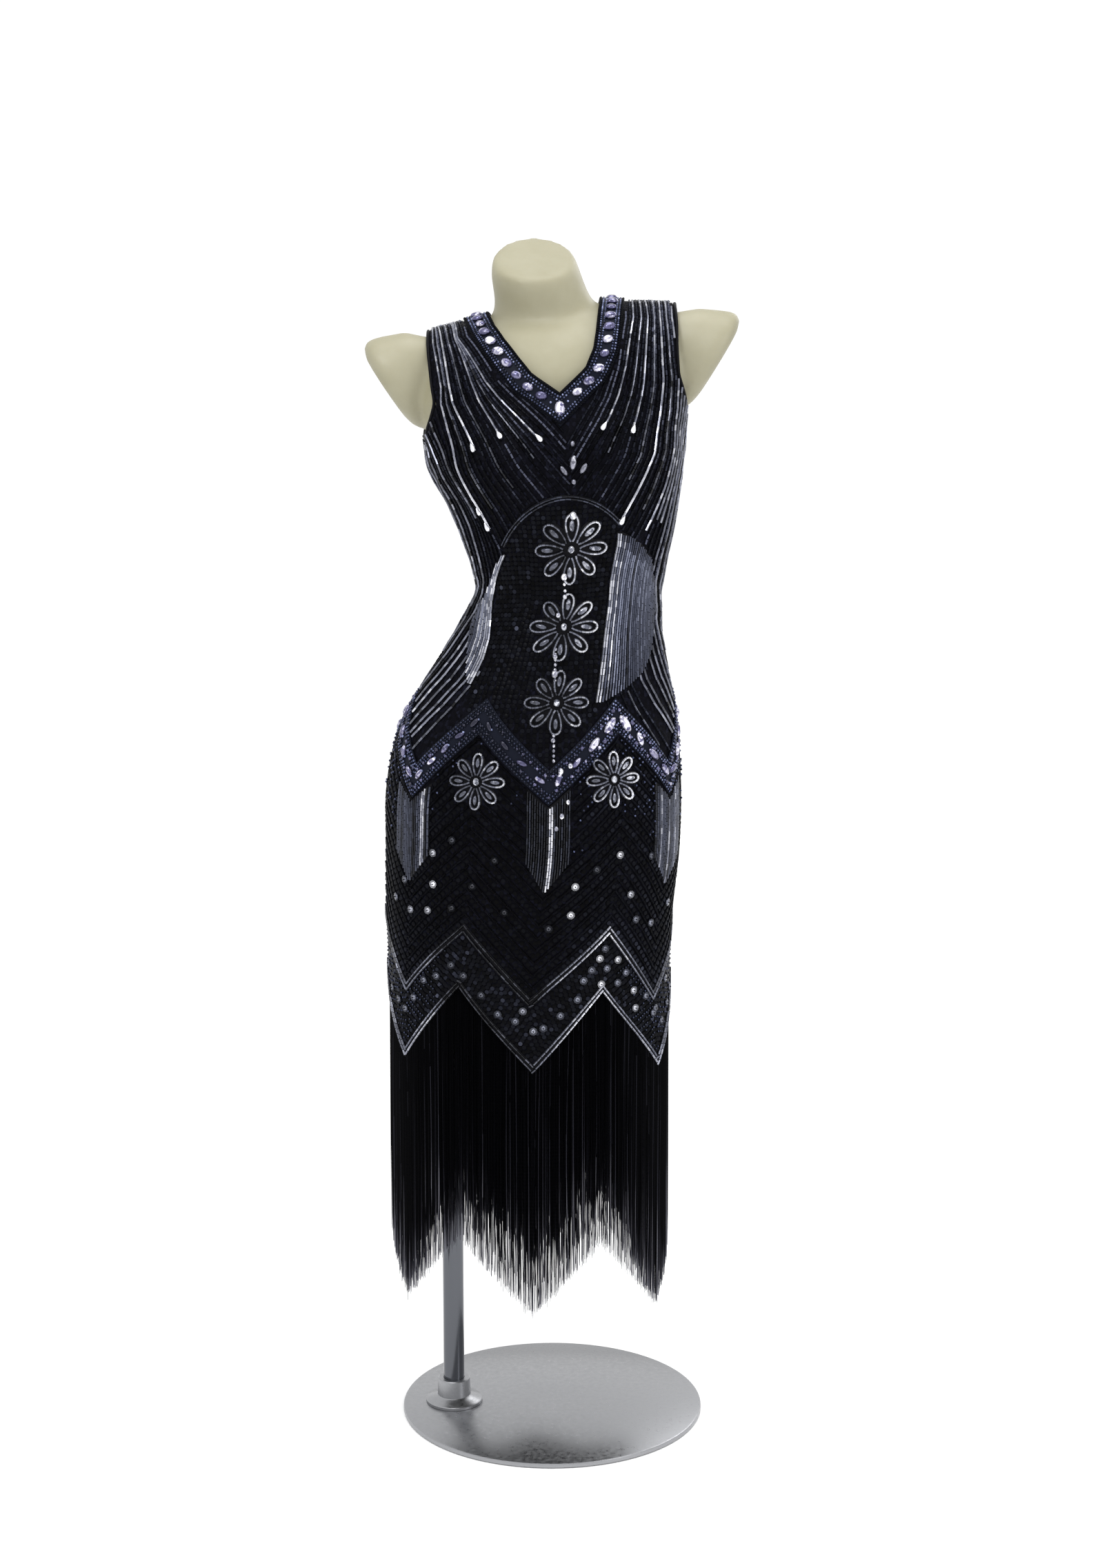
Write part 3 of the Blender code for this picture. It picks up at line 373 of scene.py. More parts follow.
def turnedSteel(key, name, code, roughness, grain):
    tree, shader = newMaterial(key, name, Base_Color=srgb(code), Metallic=1.0)
    place = addNode(tree, "TexCoord")["Object"]
    squeezed = addNode(tree, "Mapping", {"Scale": (60, 60, 900)}, {"Vector": place})["Vector"]
    noise = addNode(tree, "TexNoise", {"Scale": 3.0, "Detail": 3.0}, {"Vector": squeezed})["Fac"]
    stops = ((0.3, roughness), (0.7, roughness + grain))
    addNode(tree, "ValToRGB", (), {"Fac": noise}, shader["Roughness"], stops)
    addNode(tree, "Bump", {"Strength": 0.2, "Distance": 0.0001}, {"Height": noise}, shader["Normal"])


for key, row in steelFinishes.items():
    turnedSteel(key, *row)
print("materials:", len(finishes))


def addObject(name, data):
    added = bpy.data.objects.new(name, data)
    bpy.context.scene.collection.objects.link(added)
    return added


def addPiece(name, mesh, finish, node=""):
    mesh.materials.append(finishes[finish])
    piece = addObject(name, mesh)
    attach(piece, "root")
    if node:
        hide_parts(node)
    return piece


def toMesh(bm, name):
    mesh = bpy.data.meshes.new(name)
    bm.to_mesh(mesh)
    bm.free()
    mesh.shade_smooth()
    return mesh


def addModifier(piece, name, kind, **settings):
    modifier = piece.modifiers.new(name, kind)
    for key, value in settings.items():
        setattr(modifier, key, value)


def meshOf(item):
    # the mesh that an object's curve or modifiers make
    return bpy.data.meshes.new_from_object(item.evaluated_get(bpy.context.evaluated_depsgraph_get()))


def freezeModifiers(piece):
    made = meshOf(piece)
    piece.modifiers.clear()
    piece.data = made


def wrapGrids(grids):
    # Grids of cells bent over a surface and welded. Each is its columns, rows and place, which takes
    # shares across and up, and gives points and flat cloth in mm.
    bm = bmesh.new()
    uv = bm.loops.layers.uv.verify()
    for columns, rows, place in grids:
        verts = bmesh.ops.create_grid(bm, x_segments=columns, y_segments=rows, size=0.5)["verts"]
        shares = np.array([v.co.xy for v in verts]) + 0.5
        points, cloth = place(shares[:, 0], shares[:, 1])
        where = {}
        for v, point, flat in zip(verts, points, cloth):
            v.co = Vector(point) * mm
            where[v] = Vector(flat) * mm
        for face in {f for v in verts for f in v.link_faces}:
            for loop in face.loops:
                loop[uv].uv = where[loop.vert]
    bmesh.ops.remove_doubles(bm, verts=bm.verts, dist=weld)
    return bm


def thinPiece(name, grids, finish, node, wall):
    # a wall whose outside faces away from the body
    bm = wrapGrids(grids)
    bm.normal_update()
    bmesh.ops.recalc_face_normals(bm, faces=bm.faces)
    if sum(f.normal.xy.dot(f.calc_center_median().xy) * f.calc_area() for f in bm.faces) < 0:
        bmesh.ops.reverse_faces(bm, faces=bm.faces)
    piece = addPiece(name, toMesh(bm, name), finish, node)
    addModifier(piece, "wall", "SOLIDIFY", thickness=wall * mm, offset=-1)
    return piece


# The cloth of the two panels, with the neckline's point: its x and its share of the strap's length
panels = {"wall": 1.2, "columns": 72, "rows": 110, "strapRows": 30, "clothPerDegree": 2.6}
neckPointAt = {1: (9.0, 0.0), -1: (-8.0, 0.31)}
# Armholes below the straps: height, and the angles of the left and the right edge
armholes = {
    1: ((1176, -90, 90), (1183, -82, 82), (1192, -76, 76), (1206, -67, 66), (1224, -60, 57)),
    -1: ((1176, -90, 90), (1183, -80, 83), (1192, -71, 77), (1206, -60, 68), (1224, -52, 64)),
}
armpit = armholes[1][0][0]
# Straps: share of their length, and x of the neck's and the armhole's edges
edgeColumns = ("h", "neckLeft", "neckRight", "armLeft", "armRight")
straps = np.array((
    (0.16, -21, 37, -132, 139), (0.31, -37, 46, -134, 138), (0.47, -51, 49, -136, 138),
    (0.64, -62, 51, -137, 137), (0.82, -68, 53, -137, 136), (1.00, -71, 54, -137, 136),
), float)


def panelEdges(face):
    # the neckline and armhole edges of a panel over its height, in degrees from its own middle
    foot, length = shoulder["foot"], float(strapLength(0 if face > 0 else 180))
    vX, vShare = neckPointAt[face]
    vAngle = float(fromX(face, vX, foot))
    rows = [(h, vAngle, vAngle, left, right) for h, left, right in armholes[face]]
    for share, *edges in straps:
        angles = [float(fromX(face, x, foot)) for x in edges]
        if share <= vShare:
            angles[:2] = vAngle, vAngle
        rows.append((foot + share * length, *angles))
    edges = dict(zip(edgeColumns, np.array(rows, float).T))
    edges.update(length=length, middle=vAngle, vHeight=foot + vShare * length, top=foot + length)
    return edges


edgesOf = {face: panelEdges(face) for face in (1, -1)}


def edgeAt(face, name, h):
    return np.interp(h, edgesOf[face]["h"], edgesOf[face][name])


def middleAt(face, h):
    rise = np.clip((np.asarray(h) - armpit) / (edgesOf[face]["vHeight"] - armpit), 0, 1)
    return edgesOf[face]["middle"] * rise


def seamSpot(face, a, h, onSeam, lift=0.0):
    # a place on the cloth, drawn back by half the gap on a seam, and where it lies in flat cloth
    points = onPanel(face, a, h, lift)
    points[..., 1] -= np.where(onSeam, face * seamGap / 2, 0)
    return points, np.stack((a * panels["clothPerDegree"], h), -1)


def panelCloth(face):
    edges, end = edgesOf[face], endOf[face]

    def body(u, v):
        low = chevronLow[0] + (edges["vHeight"] - chevronLow[0]) * v
        u = 2 * u - 1
        outer = np.where(u < 0, edgeAt(face, "armLeft", low), edgeAt(face, "armRight", low))
        middle = middleAt(face, low)
        a = middle + np.abs(u) * (outer - middle)
        h = np.where(low < armpit, chevron(low, a), low)
        return seamSpot(face, a, h, (np.abs(u) > 0.999) & (low <= armpit))

    def strap(side):
        def place(u, v):
            h = edges["vHeight"] + (edges["top"] - edges["vHeight"]) * v
            neck, arm = edgeAt(face, "neck" + side, h), edgeAt(face, "arm" + side, h)
            return seamSpot(face, neck + u * (arm - neck), h, v > 0.999)

        return place

    grids = [(panels["columns"], panels["rows"], body)]
    grids += [(panels["columns"] // 2, panels["strapRows"], strap(side)) for side in ("Left", "Right")]
    return thinPiece(end + "_cloth", grids, "net", end + "_panel", panels["wall"])


frontCloth, backCloth = panelCloth(1), panelCloth(-1)
print("cloth: front and back")

# Rolled satin bindings of the armholes, just past the cloth's edge
bindings = {"beyond": 2.6, "under": -0.8, "radius": 1.9, "step": 4.0, "sides": 3, "smoothing": 3}


def binding(side, inwards):
    # from the armpit over the shoulder and back; inwards is a few degrees towards the cloth
    lines = []
    for face in (1, -1):
        h = np.arange(armpit, edgesOf[face]["top"], bindings["step"])
        edge = edgeAt(face, "arm" + side, h)
        points = onPanel(face, edge, h, bindings["under"])
        away = points - onPanel(face, edge + inwards, h, bindings["under"])
        away[0] = (0, 0, 1)
        lines.append(points + unit(away) * bindings["beyond"])
    points = np.vstack((lines[0], lines[1][::-1][:-1]))
    for _ in range(bindings["smoothing"]):
        points = (np.roll(points, 1, axis=0) + 2 * points + np.roll(points, -1, axis=0)) / 4
    name = "armhole_binding_" + side.lower()
    curve = bpy.data.curves.new(name, "CURVE")
    curve.dimensions = "3D"
    curve.bevel_depth = bindings["radius"] * mm
    curve.bevel_resolution = bindings["sides"]
    line = curve.splines.new("POLY")
    line.points.add(len(points) - 1)
    line.points.foreach_set("co", np.column_stack((points * mm, np.ones(len(points)))).ravel())
    line.use_cyclic_u = True
    holder = addObject(name, curve)
    mesh = meshOf(holder)
    bpy.data.objects.remove(holder)
    mesh.materials.clear()
    mesh.shade_smooth()
    addPiece(name + "_roll", mesh, "satin", name)


binding("Left", 3)
binding("Right", -3)
print("bindings")

# The limbless form: torso, neck and shoulder caps, run together as one smooth moulding
form = {
    "inset": 6.2, "bottom": 690, "levelBelow": 760, "ridgeDrop": 5.5,
    "columns": 96, "rows": 90, "topRows": 26, "neckCells": (72, 60), "capCells": (56, 24),
    "voxel": 3.4, "smooth": 9, "hollow": {"z": 1314, "high": 34, "half": 104, "smooth": 60},
}
formFoot = np.array(((690, 0.82), (694, 0.93), (704, 0.985), (716, 1.0)))
formYoke = np.array((
    (0, 1.0), (0.18, 0.985), (0.36, 0.96), (0.54, 0.93), (0.72, 0.90), (0.88, 0.875), (1.0, 0.86),
))
# Rings of the neck: height, centre, half width and half depth; its top is cut on a slope
neckRings = np.array((
    (1270, 0, 14, 70, 46), (1296, 0, 12, 71, 48), (1311, -4, 8, 61, 49), (1322, -9, 5, 55, 50),
    (1340, -15, 2, 52, 50), (1354, -18, 0, 49.5, 50), (1363, -19.5, -1.5, 47.2, 50),
    (1367, -20, -2, 45.4, 48.6), (1369, -20, -2, 41.5, 44.5), (1369.6, -20, -2, 35, 38),
), float)
neckCut = {"slope": math.tan(math.radians(26)), "from": 1322, "to": 1368}
# Rings of a shoulder cap: x, height, lean, half height, half depth, and how much +X rises
capRings = np.array((
    (104, 1244, 0, 38, 26, 0.11), (131, 1249, 8, 46, 30, 0.10), (150, 1249, 17, 53, 35, 0.08),
    (171, 1242, 28, 60, 41, 0.075), (180, 1241, 30, 58, 40, 0.075), (185, 1240, 31, 51, 36, 0.075),
    (188, 1239, 32, 40, 29, 0.075),
), float)
cap = {"y": 2, "pinch": 0.14}


def bodyInside(angle, z):
    # the form's side, at an angle round the body
    s = sectionAt(z)
    x, y = sectionPoint(s, np.radians(angle), z, -form["inset"])
    level = np.clip((z - form["bottom"]) / (form["levelBelow"] - form["bottom"]), 0, 1)
    return np.stack((x, y, z + s["roll"] * (x - s["cx"]) * level), -1)


def torsoSide(u, v):
    z = form["bottom"] + (shoulder["foot"] - form["bottom"]) * v**1.15
    share, s = np.interp(z, *formFoot.T), sectionAt(z)
    middle = np.stack((s["cx"], s["cy"], z), -1)
    points = middle + (bodyInside(360 * u, z) - middle) * np.stack((share, share, np.ones_like(share)), -1)
    return points, points[:, :2]


def torsoTop(u, v):
    s = sectionAt(shoulder["foot"])
    low = bodyInside(360 * u, np.full_like(u, shoulder["foot"]))
    x = s["cx"] + (s["half"] - form["inset"]) * np.interp(v, *formYoke.T) * np.sin(np.radians(360 * u))
    arch = np.radians(90 * v)
    y = shoulder["ridgeY"] + (low[:, 1] - shoulder["ridgeY"]) * np.cos(arch)
    high = ridgeHeight(x) - form["ridgeDrop"] - shoulder["foot"]
    z = shoulder["foot"] + high * np.sin(arch) + s["roll"] * (x - s["cx"])
    return np.stack((x, y, z), -1), np.stack((u, v), -1)


def ringSkin(table, ringPoint):
    # a surface through a table's rings, wrapped round by ringPoint
    def place(u, v):
        ring = [np.interp(v * (len(table) - 1), np.arange(len(table)), column) for column in table.T]
        return ringPoint(2 * np.pi * u, *ring), np.stack((u, v), -1)

    return place


def neckPoint(a, z, cx, cy, half, deep):
    y = cy - deep * np.cos(a)
    slope = neckCut["slope"] * np.clip((z - neckCut["from"]) / (neckCut["to"] - neckCut["from"]), 0, 1)
    return np.stack((cx + half * np.sin(a), y, z + slope * (y - cy)), -1)


def capPoint(sign):
    def place(a, x, z, lean, high, deep, roll):
        along, lean = high * np.cos(a), np.radians(lean)
        x = sign * (x + along * np.sin(lean))
        y = cap["y"] + deep * np.sin(a) * (1 - cap["pinch"] + cap["pinch"] * np.cos(a))
        return np.stack((x, y, z + along * np.cos(lean) + roll * x), -1)

    return place


def dressForm():
    name = "dress_form_moulding"
    torso = ((form["columns"], form["rows"], torsoSide), (form["columns"], form["topRows"], torsoTop))
    parts = [torso, ((*form["neckCells"], ringSkin(neckRings, neckPoint)),)]
    parts += [((*form["capCells"], ringSkin(capRings, capPoint(sign))),) for sign in (-1, 1)]
    whole = bmesh.new()
    for grids in parts:
        bm = wrapGrids(grids)
        bmesh.ops.holes_fill(bm, edges=[e for e in bm.edges if e.is_boundary], sides=0)
        bmesh.ops.recalc_face_normals(bm, faces=bm.faces)
        whole.from_mesh(toMesh(bm, "form_part"))
    piece = addPiece(name, toMesh(whole, name), "ivory", "dress_form")
    addModifier(piece, "melt", "REMESH", mode="VOXEL", voxel_size=form["voxel"] * mm, use_smooth_shade=True)
    addModifier(piece, "soften", "SMOOTH", factor=0.5, iterations=form["smooth"])
    freezeModifiers(piece)
    # the hollow between neck and shoulders is smoothed once more
    hollow, group = form["hollow"], piece.vertex_groups.new(name="hollow")
    for v in piece.data.vertices:
        away = abs(v.co.z / mm - hollow["z"]) / hollow["high"]
        if away < 1 and abs(v.co.x / mm) < hollow["half"]:
            group.add([v.index], 1 - away**2, "REPLACE")
    addModifier(piece, "melded", "SMOOTH", factor=0.5, iterations=hollow["smooth"], vertex_group="hollow")
    freezeModifiers(piece)
    print("form:", len(piece.data.polygons), "faces")


dressForm()

# The stand: turned steel foot, hub and flange, and a polished tube
stand = {
    "poleX": -119.0, "poleRadius": 12.5, "footRadius": 180.0, "footThick": 6.0,
    "hubHigh": 30, "flangeHigh": 46, "steps": 96, "sharp": 32,
}


def turnedPiece(name, profile, x, finish, node):
    # profile is (radius, height) round half a section, in mm; one that starts off the axis is a ring's
    bm = bmesh.new()
    verts = [bm.verts.new(Vector((r, 0, z)) * mm) for r, z in profile]
    edges = [bm.edges.new(pair) for pair in zip(verts, verts[1:])]
    if profile[0][0] > 0:
        edges.append(bm.edges.new((verts[-1], verts[0])))
    turn = {"axis": (0, 0, 1), "cent": (0, 0, 0), "angle": 2 * math.pi, "use_merge": True}
    bmesh.ops.spin(bm, geom=verts + edges, steps=stand["steps"], **turn)
    bmesh.ops.remove_doubles(bm, verts=bm.verts, dist=weld / 2)
    bmesh.ops.translate(bm, verts=bm.verts, vec=(x * mm, 0, 0))
    bmesh.ops.recalc_face_normals(bm, faces=bm.faces)
    mesh = toMesh(bm, name)
    mesh.set_sharp_from_angle(angle=math.radians(stand["sharp"]))
    addPiece(name, mesh, finish, node)


def standPieces():
    r, t, x = stand["footRadius"], stand["footThick"], stand["poleX"]
    plate = ((0, 0), (r - 1, 0), (r, 1), (r, t - 2), (r - 0.6, t - 0.7), (r - 2, t), (26, t), (0, t))
    turnedPiece("foot_disc", plate, 0, "steel", "foot_plate")
    low, p, bore = t + seamGap, stand["poleRadius"], stand["poleRadius"] + seamGap
    tall = stand["hubHigh"]
    hub = ((bore, 0), (34, 0), (34, 3), (33, 4), (22, 7.2), (20, 9), (19, tall - 1), (18, tall), (bore, tall))
    turnedPiece("foot_socket", [(r, low + z) for r, z in hub], x, "steel", "foot_hub")
    top, long = form["bottom"] - seamGap, stand["flangeHigh"]
    flange = ((0, long), (16, long), (17, long - 1), (17, 8), (20, 6.6), (37, 6), (38, 5), (38, 0), (0, 0))
    turnedPiece("form_socket", [(r, top - z) for r, z in flange], x, "steel", "form_flange")
    high = top - long - seamGap
    turnedPiece("pole_tube", ((0, low), (p, low), (p, high), (0, high)), x, "chrome", "pole")


standPieces()
print("stand")


# Beads: each kind is modelled once, x along its thread and z away from the cloth, in mm
alongX = Matrix.Rotation(math.pi / 2, 4, "Y")


def beadShape(bm):
    bmesh.ops.triangulate(bm, faces=bm.faces)
    bm.verts.ensure_lookup_table()
    verts = np.array([v.co for v in bm.verts])
    tris = np.array([[v.index for v in f.verts] for f in bm.faces])
    bm.free()
    return verts, tris


def bugle(length, radius):
    # a short cut glass tube
    bm = bmesh.new()
    size = {"radius1": radius, "radius2": radius, "depth": length}
    bmesh.ops.create_cone(bm, cap_ends=True, segments=6, matrix=alongX, **size)
    return beadShape(bm)


def seed(radius):
    # a small round bead
    bm = bmesh.new()
    bmesh.ops.create_icosphere(bm, subdivisions=1, radius=radius)
    return beadShape(bm)


def sequin(radius, sides):
    # a cupped disc
    bm = bmesh.new()
    bmesh.ops.create_cone(bm, cap_ends=True, segments=sides, radius1=radius, radius2=0.0, depth=radius * 0.22)
    return beadShape(bm)


def stone(long, wide, high):
    # a cut stone: a belt, a slanted crown and a flat table
    bm = bmesh.new()
    bmesh.ops.create_cone(bm, cap_ends=True, segments=12, radius1=1.0, radius2=1.0, depth=0.3)
    top = max(bm.faces, key=lambda f: f.calc_center_median().z)
    for inset, rise in ((0.22, 0.35), (0.24, 0.2)):
        bmesh.ops.inset_region(bm, faces=[top], thickness=inset)
        bmesh.ops.translate(bm, verts=top.verts, vec=(0, 0, rise))
    bmesh.ops.scale(bm, verts=bm.verts, vec=(long / 2, wide / 2, high / 0.85))
    return beadShape(bm)


def drop(long, wide):
    # a pear-shaped bead, its fat end ahead
    bm = bmesh.new()
    bmesh.ops.create_uvsphere(bm, u_segments=10, v_segments=7, radius=1.0, matrix=alongX)
    for v in bm.verts:
        taper = 0.62 + 0.38 * v.co.x
        v.co = Vector((v.co.x * long / 2, v.co.y * wide / 2 * taper, v.co.z * wide / 2 * taper * 0.7))
    return beadShape(bm)


beadSharp = 50
beadKinds = {
    "bugle": bugle(6.0, 1.15), "shortBugle": bugle(3.8, 1.35), "longBugle": bugle(7.4, 1.2), "seed": seed(1.5),
    "smallSequin": sequin(2.6, 7), "sequin": sequin(4.8, 10), "stone": stone(14, 10, 4.2),
    "smallStone": stone(8, 6.5, 3.4), "petalStone": stone(15, 6.4, 3.2), "drop": drop(10, 7.4),
}


class Beadwork:
    # beads sewn on one piece, gathered line by line and then joined into one mesh

    def __init__(self):
        self.verts, self.tris, self.shine, self.count = [], [], [], 0

    def add(self, points, tris, shine):
        # points and the painted shine have a row for each bead
        n, each = points.shape[:2]
        first = self.count + np.arange(n)[:, None, None] * each
        self.verts.append(points.reshape(-1, 3))
        self.tris.append((tris[None] + first).reshape(-1, 3))
        self.shine.append(np.broadcast_to(shine, (n, each)).ravel())
        self.count += n * each

    def sew(self, kind, places, shine=0.5, size=1.0, spin=None):
        # one bead at each place; spin turns it on the cloth, and size scales it
        n = len(places["point"])
        if n == 0:
            return
        verts, tris = beadKinds[kind]
        along, out = places["along"], places["out"]
        if spin is not None:
            along = along * np.cos(spin)[:, None] + np.cross(out, along) * np.sin(spin)[:, None]
        axes = np.stack((along, np.cross(out, along), out), 1) * np.broadcast_to(size, n)[:, None, None]
        placed = np.einsum("vk,nkj->nvj", verts, axes) + places["point"][:, None, :]
        self.add(placed, tris, np.broadcast_to(shine, n)[:, None])

    def finish(self, name, finish, slotName, node="", faceted=False):
        verts, tris = np.vstack(self.verts) * mm, np.vstack(self.tris)
        mesh = bpy.data.meshes.new(name)
        mesh.vertices.add(len(verts))
        mesh.vertices.foreach_set("co", verts.ravel().astype(np.float32))
        mesh.loops.add(tris.size)
        mesh.loops.foreach_set("vertex_index", tris.ravel().astype(np.int32))
        mesh.polygons.add(len(tris))
        mesh.polygons.foreach_set("loop_start", np.arange(len(tris), dtype=np.int32) * 3)
        mesh.update(calc_edges=True)
        shine = mesh.attributes.new("shine", "FLOAT", "POINT")
        shine.data.foreach_set("value", np.clip(np.concatenate(self.shine), 0, 1).astype(np.float32))
        if not faceted:
            mesh.shade_smooth()
            mesh.set_sharp_from_angle(angle=math.radians(beadSharp))
        print("beads:", name, len(tris), "triangles")
        addPiece(name, mesh, finish, node)


def onCloth(vectors, out):
    # unit vectors without their part along out
    return unit(vectors - out * np.sum(vectors * out, axis=1, keepdims=True))


# How finely a line on the cloth is measured before its beads are set out
samples = {"perStep": 6, "fewest": 24}


def threadPlaces(face, a, h, pitch, lift, keep=None, jitter=0.0):
    # even places along a line on a panel; keep leaves some of them out, and jitter tilts the beads
    steps, count = np.arange(len(h)), max(len(h) * samples["perStep"], samples["fewest"])
    fine = np.linspace(0, len(h) - 1, count)
    a, h = np.interp(fine, steps, a), np.interp(fine, steps, h)
    run = runOf(dressPoint(panelAngle(face, a), h))
    count = max(int(run[-1] / pitch), 1)
    at = (np.arange(count) + 0.5) / count * run[-1]
    if keep:
        at = at[keep(face, np.interp(at, run, a), np.interp(at, run, h))]
    before, here, after = ((np.interp(at + d, run, a), np.interp(at + d, run, h)) for d in (-1, 0, 1))
    out = dressNormal(panelAngle(face, here[0]), here[1])
    along = onCloth(clothPoint(face, *after) - clothPoint(face, *before), out)
    if jitter:
        along = unit(along + draw.normal(0, jitter, along.shape))
        out = onCloth(out, along)
    point = clothPoint(face, *here) + out * lift
    return {"point": point, "along": along, "out": out, "share": at / run[-1], "a": here[0], "h": here[1]}


def spotPlaces(face, a, h, lift, turn=0.0):
    # single places on a panel; turn is the bead's direction on the cloth, 0 upwards, in degrees
    angle, h = panelAngle(face, np.asarray(a, float)), np.asarray(h, float)
    out = dressNormal(angle, h)
    up = onCloth(dressPoint(angle, h + 1) - dressPoint(angle, h - 1), out)
    turn = np.radians(np.broadcast_to(turn, angle.shape))[:, None]
    along = up * np.cos(turn) + np.cross(up, out) * np.sin(turn)
    return {"point": dressPoint(angle, h) + out * lift, "along": along, "out": out}


def some(places, kept):
    return {key: value[kept] for key, value in places.items()}


def tableAt(table, face, places, backShare=1.0):
    # what a table of (angle, value) says at each place; the back mirrors the front, and backShare paints the
    # back's light dimmer
    return np.interp(places["a"] * face, *zip(*table)) * (1 if face > 0 else backShare)


# Where the trims lie, so that the field of black beads leaves them free
girdle = {"low": 764, "high": 804}
bandWidth = 28.0
# how many mm of the field stay free beside each, and the share of a flower's radius that does
clear = {"edge": 3, "band": 2, "girdle": 2, "trim": 1.5, "leaf": 1.5, "pendant": 1.5, "flowerShare": 0.9}
chevronTrims = ((450, 462), (528, 540))
arch = {
    "left": -37.5, "middle": -3, "right": 24.5, "top": 1107, "fall": 0.043, "width": 6,
    "lift": 1.4, "beadLift": 0.8, "pitch": 6.4, "tilt": 0.02, "light": 0.6,
}
# The column of flowers under the arch: height, and its left and right edge
column = ((800, -34, 17), (900, -41, 21), (948, -42, 23), (984, -51, 25), (1016, -48, 25), (1056, -37, 25))
# Flowers: piece, face, angle, height and radius
flowers = (
    ("flower_centre_top", 1, 0, 1052, 40), ("flower_centre_middle", 1, 0, 964, 38),
    ("flower_centre_low", 1, 2, 880, 36), ("flower_hip_left", 1, -28.5, 790, 32),
    ("flower_hip_right", 1, 26.5, 791, 32), ("flower_back_hip_left", -1, -30, 790, 32),
    ("flower_back_hip_right", -1, 30, 790, 32),
)
# Leaves of beads beside the column: height, and the angles of the inner and the outer edge
wideLeaf = np.array((
    (1068, 24.5, 27), (1055, 25, 40), (1035, 25, 54), (1010, 24.5, 63), (985, 24.5, 66), (955, 23.5, 63),
    (930, 22.5, 57), (910, 21.5, 49), (892, 20.5, 35), (879, 19.5, 23),
), float)
narrowLeaf = np.array((
    (1047, 38, 40.5), (1033, 43, 47.5), (1016, 48.5, 54), (1000, 52, 60), (984, 51.5, 65), (967, 46, 64.5),
    (948, 42, 60), (928, 40.5, 53.5), (908, 41, 48), (897, 41.5, 43.5),
), float)
leaves = (
    ("side_beads_front_right", 1, 1, wideLeaf), ("side_beads_front_left", 1, -1, narrowLeaf),
    ("side_beads_back_right", -1, 1, wideLeaf), ("side_beads_back_left", -1, -1, wideLeaf),
)
pendant = {"width": 50, "top": 762, "tip": 662, "short": 36, "slope": 0.9}
pendants = (
    ("pendant_front_centre", 1, 0), ("pendant_front_left", 1, -60), ("pendant_front_right", 1, 60),
    ("pendant_back_centre", -1, 0), ("pendant_back_left", -1, -60), ("pendant_back_right", -1, 60),
)


def ofFace(pieces, face):
    return [piece for piece in pieces if piece[1] == face]


def neckDistance(face, a, h):
    # mm from the neckline, roughly, for places at the chest and on the straps
    edges, perMm, onLeft = edgesOf[face], degreesPerMm(face, a, h), a < middleAt(face, h)
    lines = [edges[name] for name in ("neckLeft", "neckRight")]
    slants = [np.gradient(line, edges["h"]) for line in lines]
    line, slant = (
        np.where(onLeft, *[np.interp(h, edges["h"], values) for values in two]) for two in (lines, slants)
    )
    across = np.abs(a - line) / perMm
    above = across / np.sqrt(1 + (np.abs(slant) / perMm) ** 2)
    return np.where(h >= edges["vHeight"], above, np.hypot(across, edges["vHeight"] - h))


def archHeight(a):
    return arch["top"] - arch["fall"] * (np.asarray(a, float) - arch["middle"]) ** 2


def underArch(a, h, margin):
    # the column of flowers, from the arch down to the girdle
    left, right = (np.interp(h, *np.array(column, float).T[[0, k]]) for k in (1, 2))
    return (a > left) & (a < right) & (h < archHeight(a) + margin)


def inLeaf(edges, away, h, margin):
    # away is the angle from the panel's middle on the leaf's own side
    inner, outer = (np.interp(h, edges[::-1, 0], edges[::-1, k]) for k in (1, 2))
    inHeight = (h < edges[0, 0] + margin) & (h > edges[-1, 0] - margin)
    return inHeight & (away > inner - margin / 2) & (away < outer + margin / 2)


def inPendant(face, angle, a, h, margin):
    reach = np.abs(a - angle) / degreesPerMm(face, a, h)
    top = pendant["top"] + pendant["slope"] * reach
    foot = pendant["tip"] + pendant["short"] * reach / (pendant["width"] / 2)
    return (reach < pendant["width"] / 2 + margin) & (h < top + margin) & (h > foot - margin)


def isFree(face, a, h):
    # True where no trim covers the panel
    a, h = np.asarray(a, float), np.asarray(h, float)
    edges, perMm = edgesOf[face], degreesPerMm(face, a, h)
    inset = clear["edge"] * perMm
    free = (a > edgeAt(face, "armLeft", h) + inset) & (a < edgeAt(face, "armRight", h) - inset)
    free &= (h < edges["top"] - clear["edge"]) & (neckDistance(face, a, h) > bandWidth + clear["band"])
    free &= ~((h > edges["vHeight"]) & (a > edgeAt(face, "neckLeft", h)) & (a < edgeAt(face, "neckRight", h)))
    low, pattern = np.minimum(h, armpit), panelAngle(face, a)
    bands = [(*trim, clear["trim"]) for trim in chevronTrims]
    for bottom, top, margin in [(girdle["low"], girdle["high"], clear["girdle"])] + bands:
        free &= (low < chevron(bottom, pattern) - margin) | (low > chevron(top, pattern) + margin)
    free &= low > chevron(chevronTrims[0][1], pattern)
    for _, _, sign, leaf in ofFace(leaves, face):
        free &= ~inLeaf(leaf, a * sign, h, clear["leaf"])
    for _, _, angle in ofFace(pendants, face):
        free &= ~inPendant(face, angle, a, h, clear["pendant"])
    for _, _, angle, height, radius in ofFace(flowers, face):
        free &= np.hypot((a - angle) / perMm, h - height) > radius * clear["flowerShare"]
    return free


def overGirdle(face, a, h, margin):
    return h > chevron(girdle["high"], panelAngle(face, a)) + margin


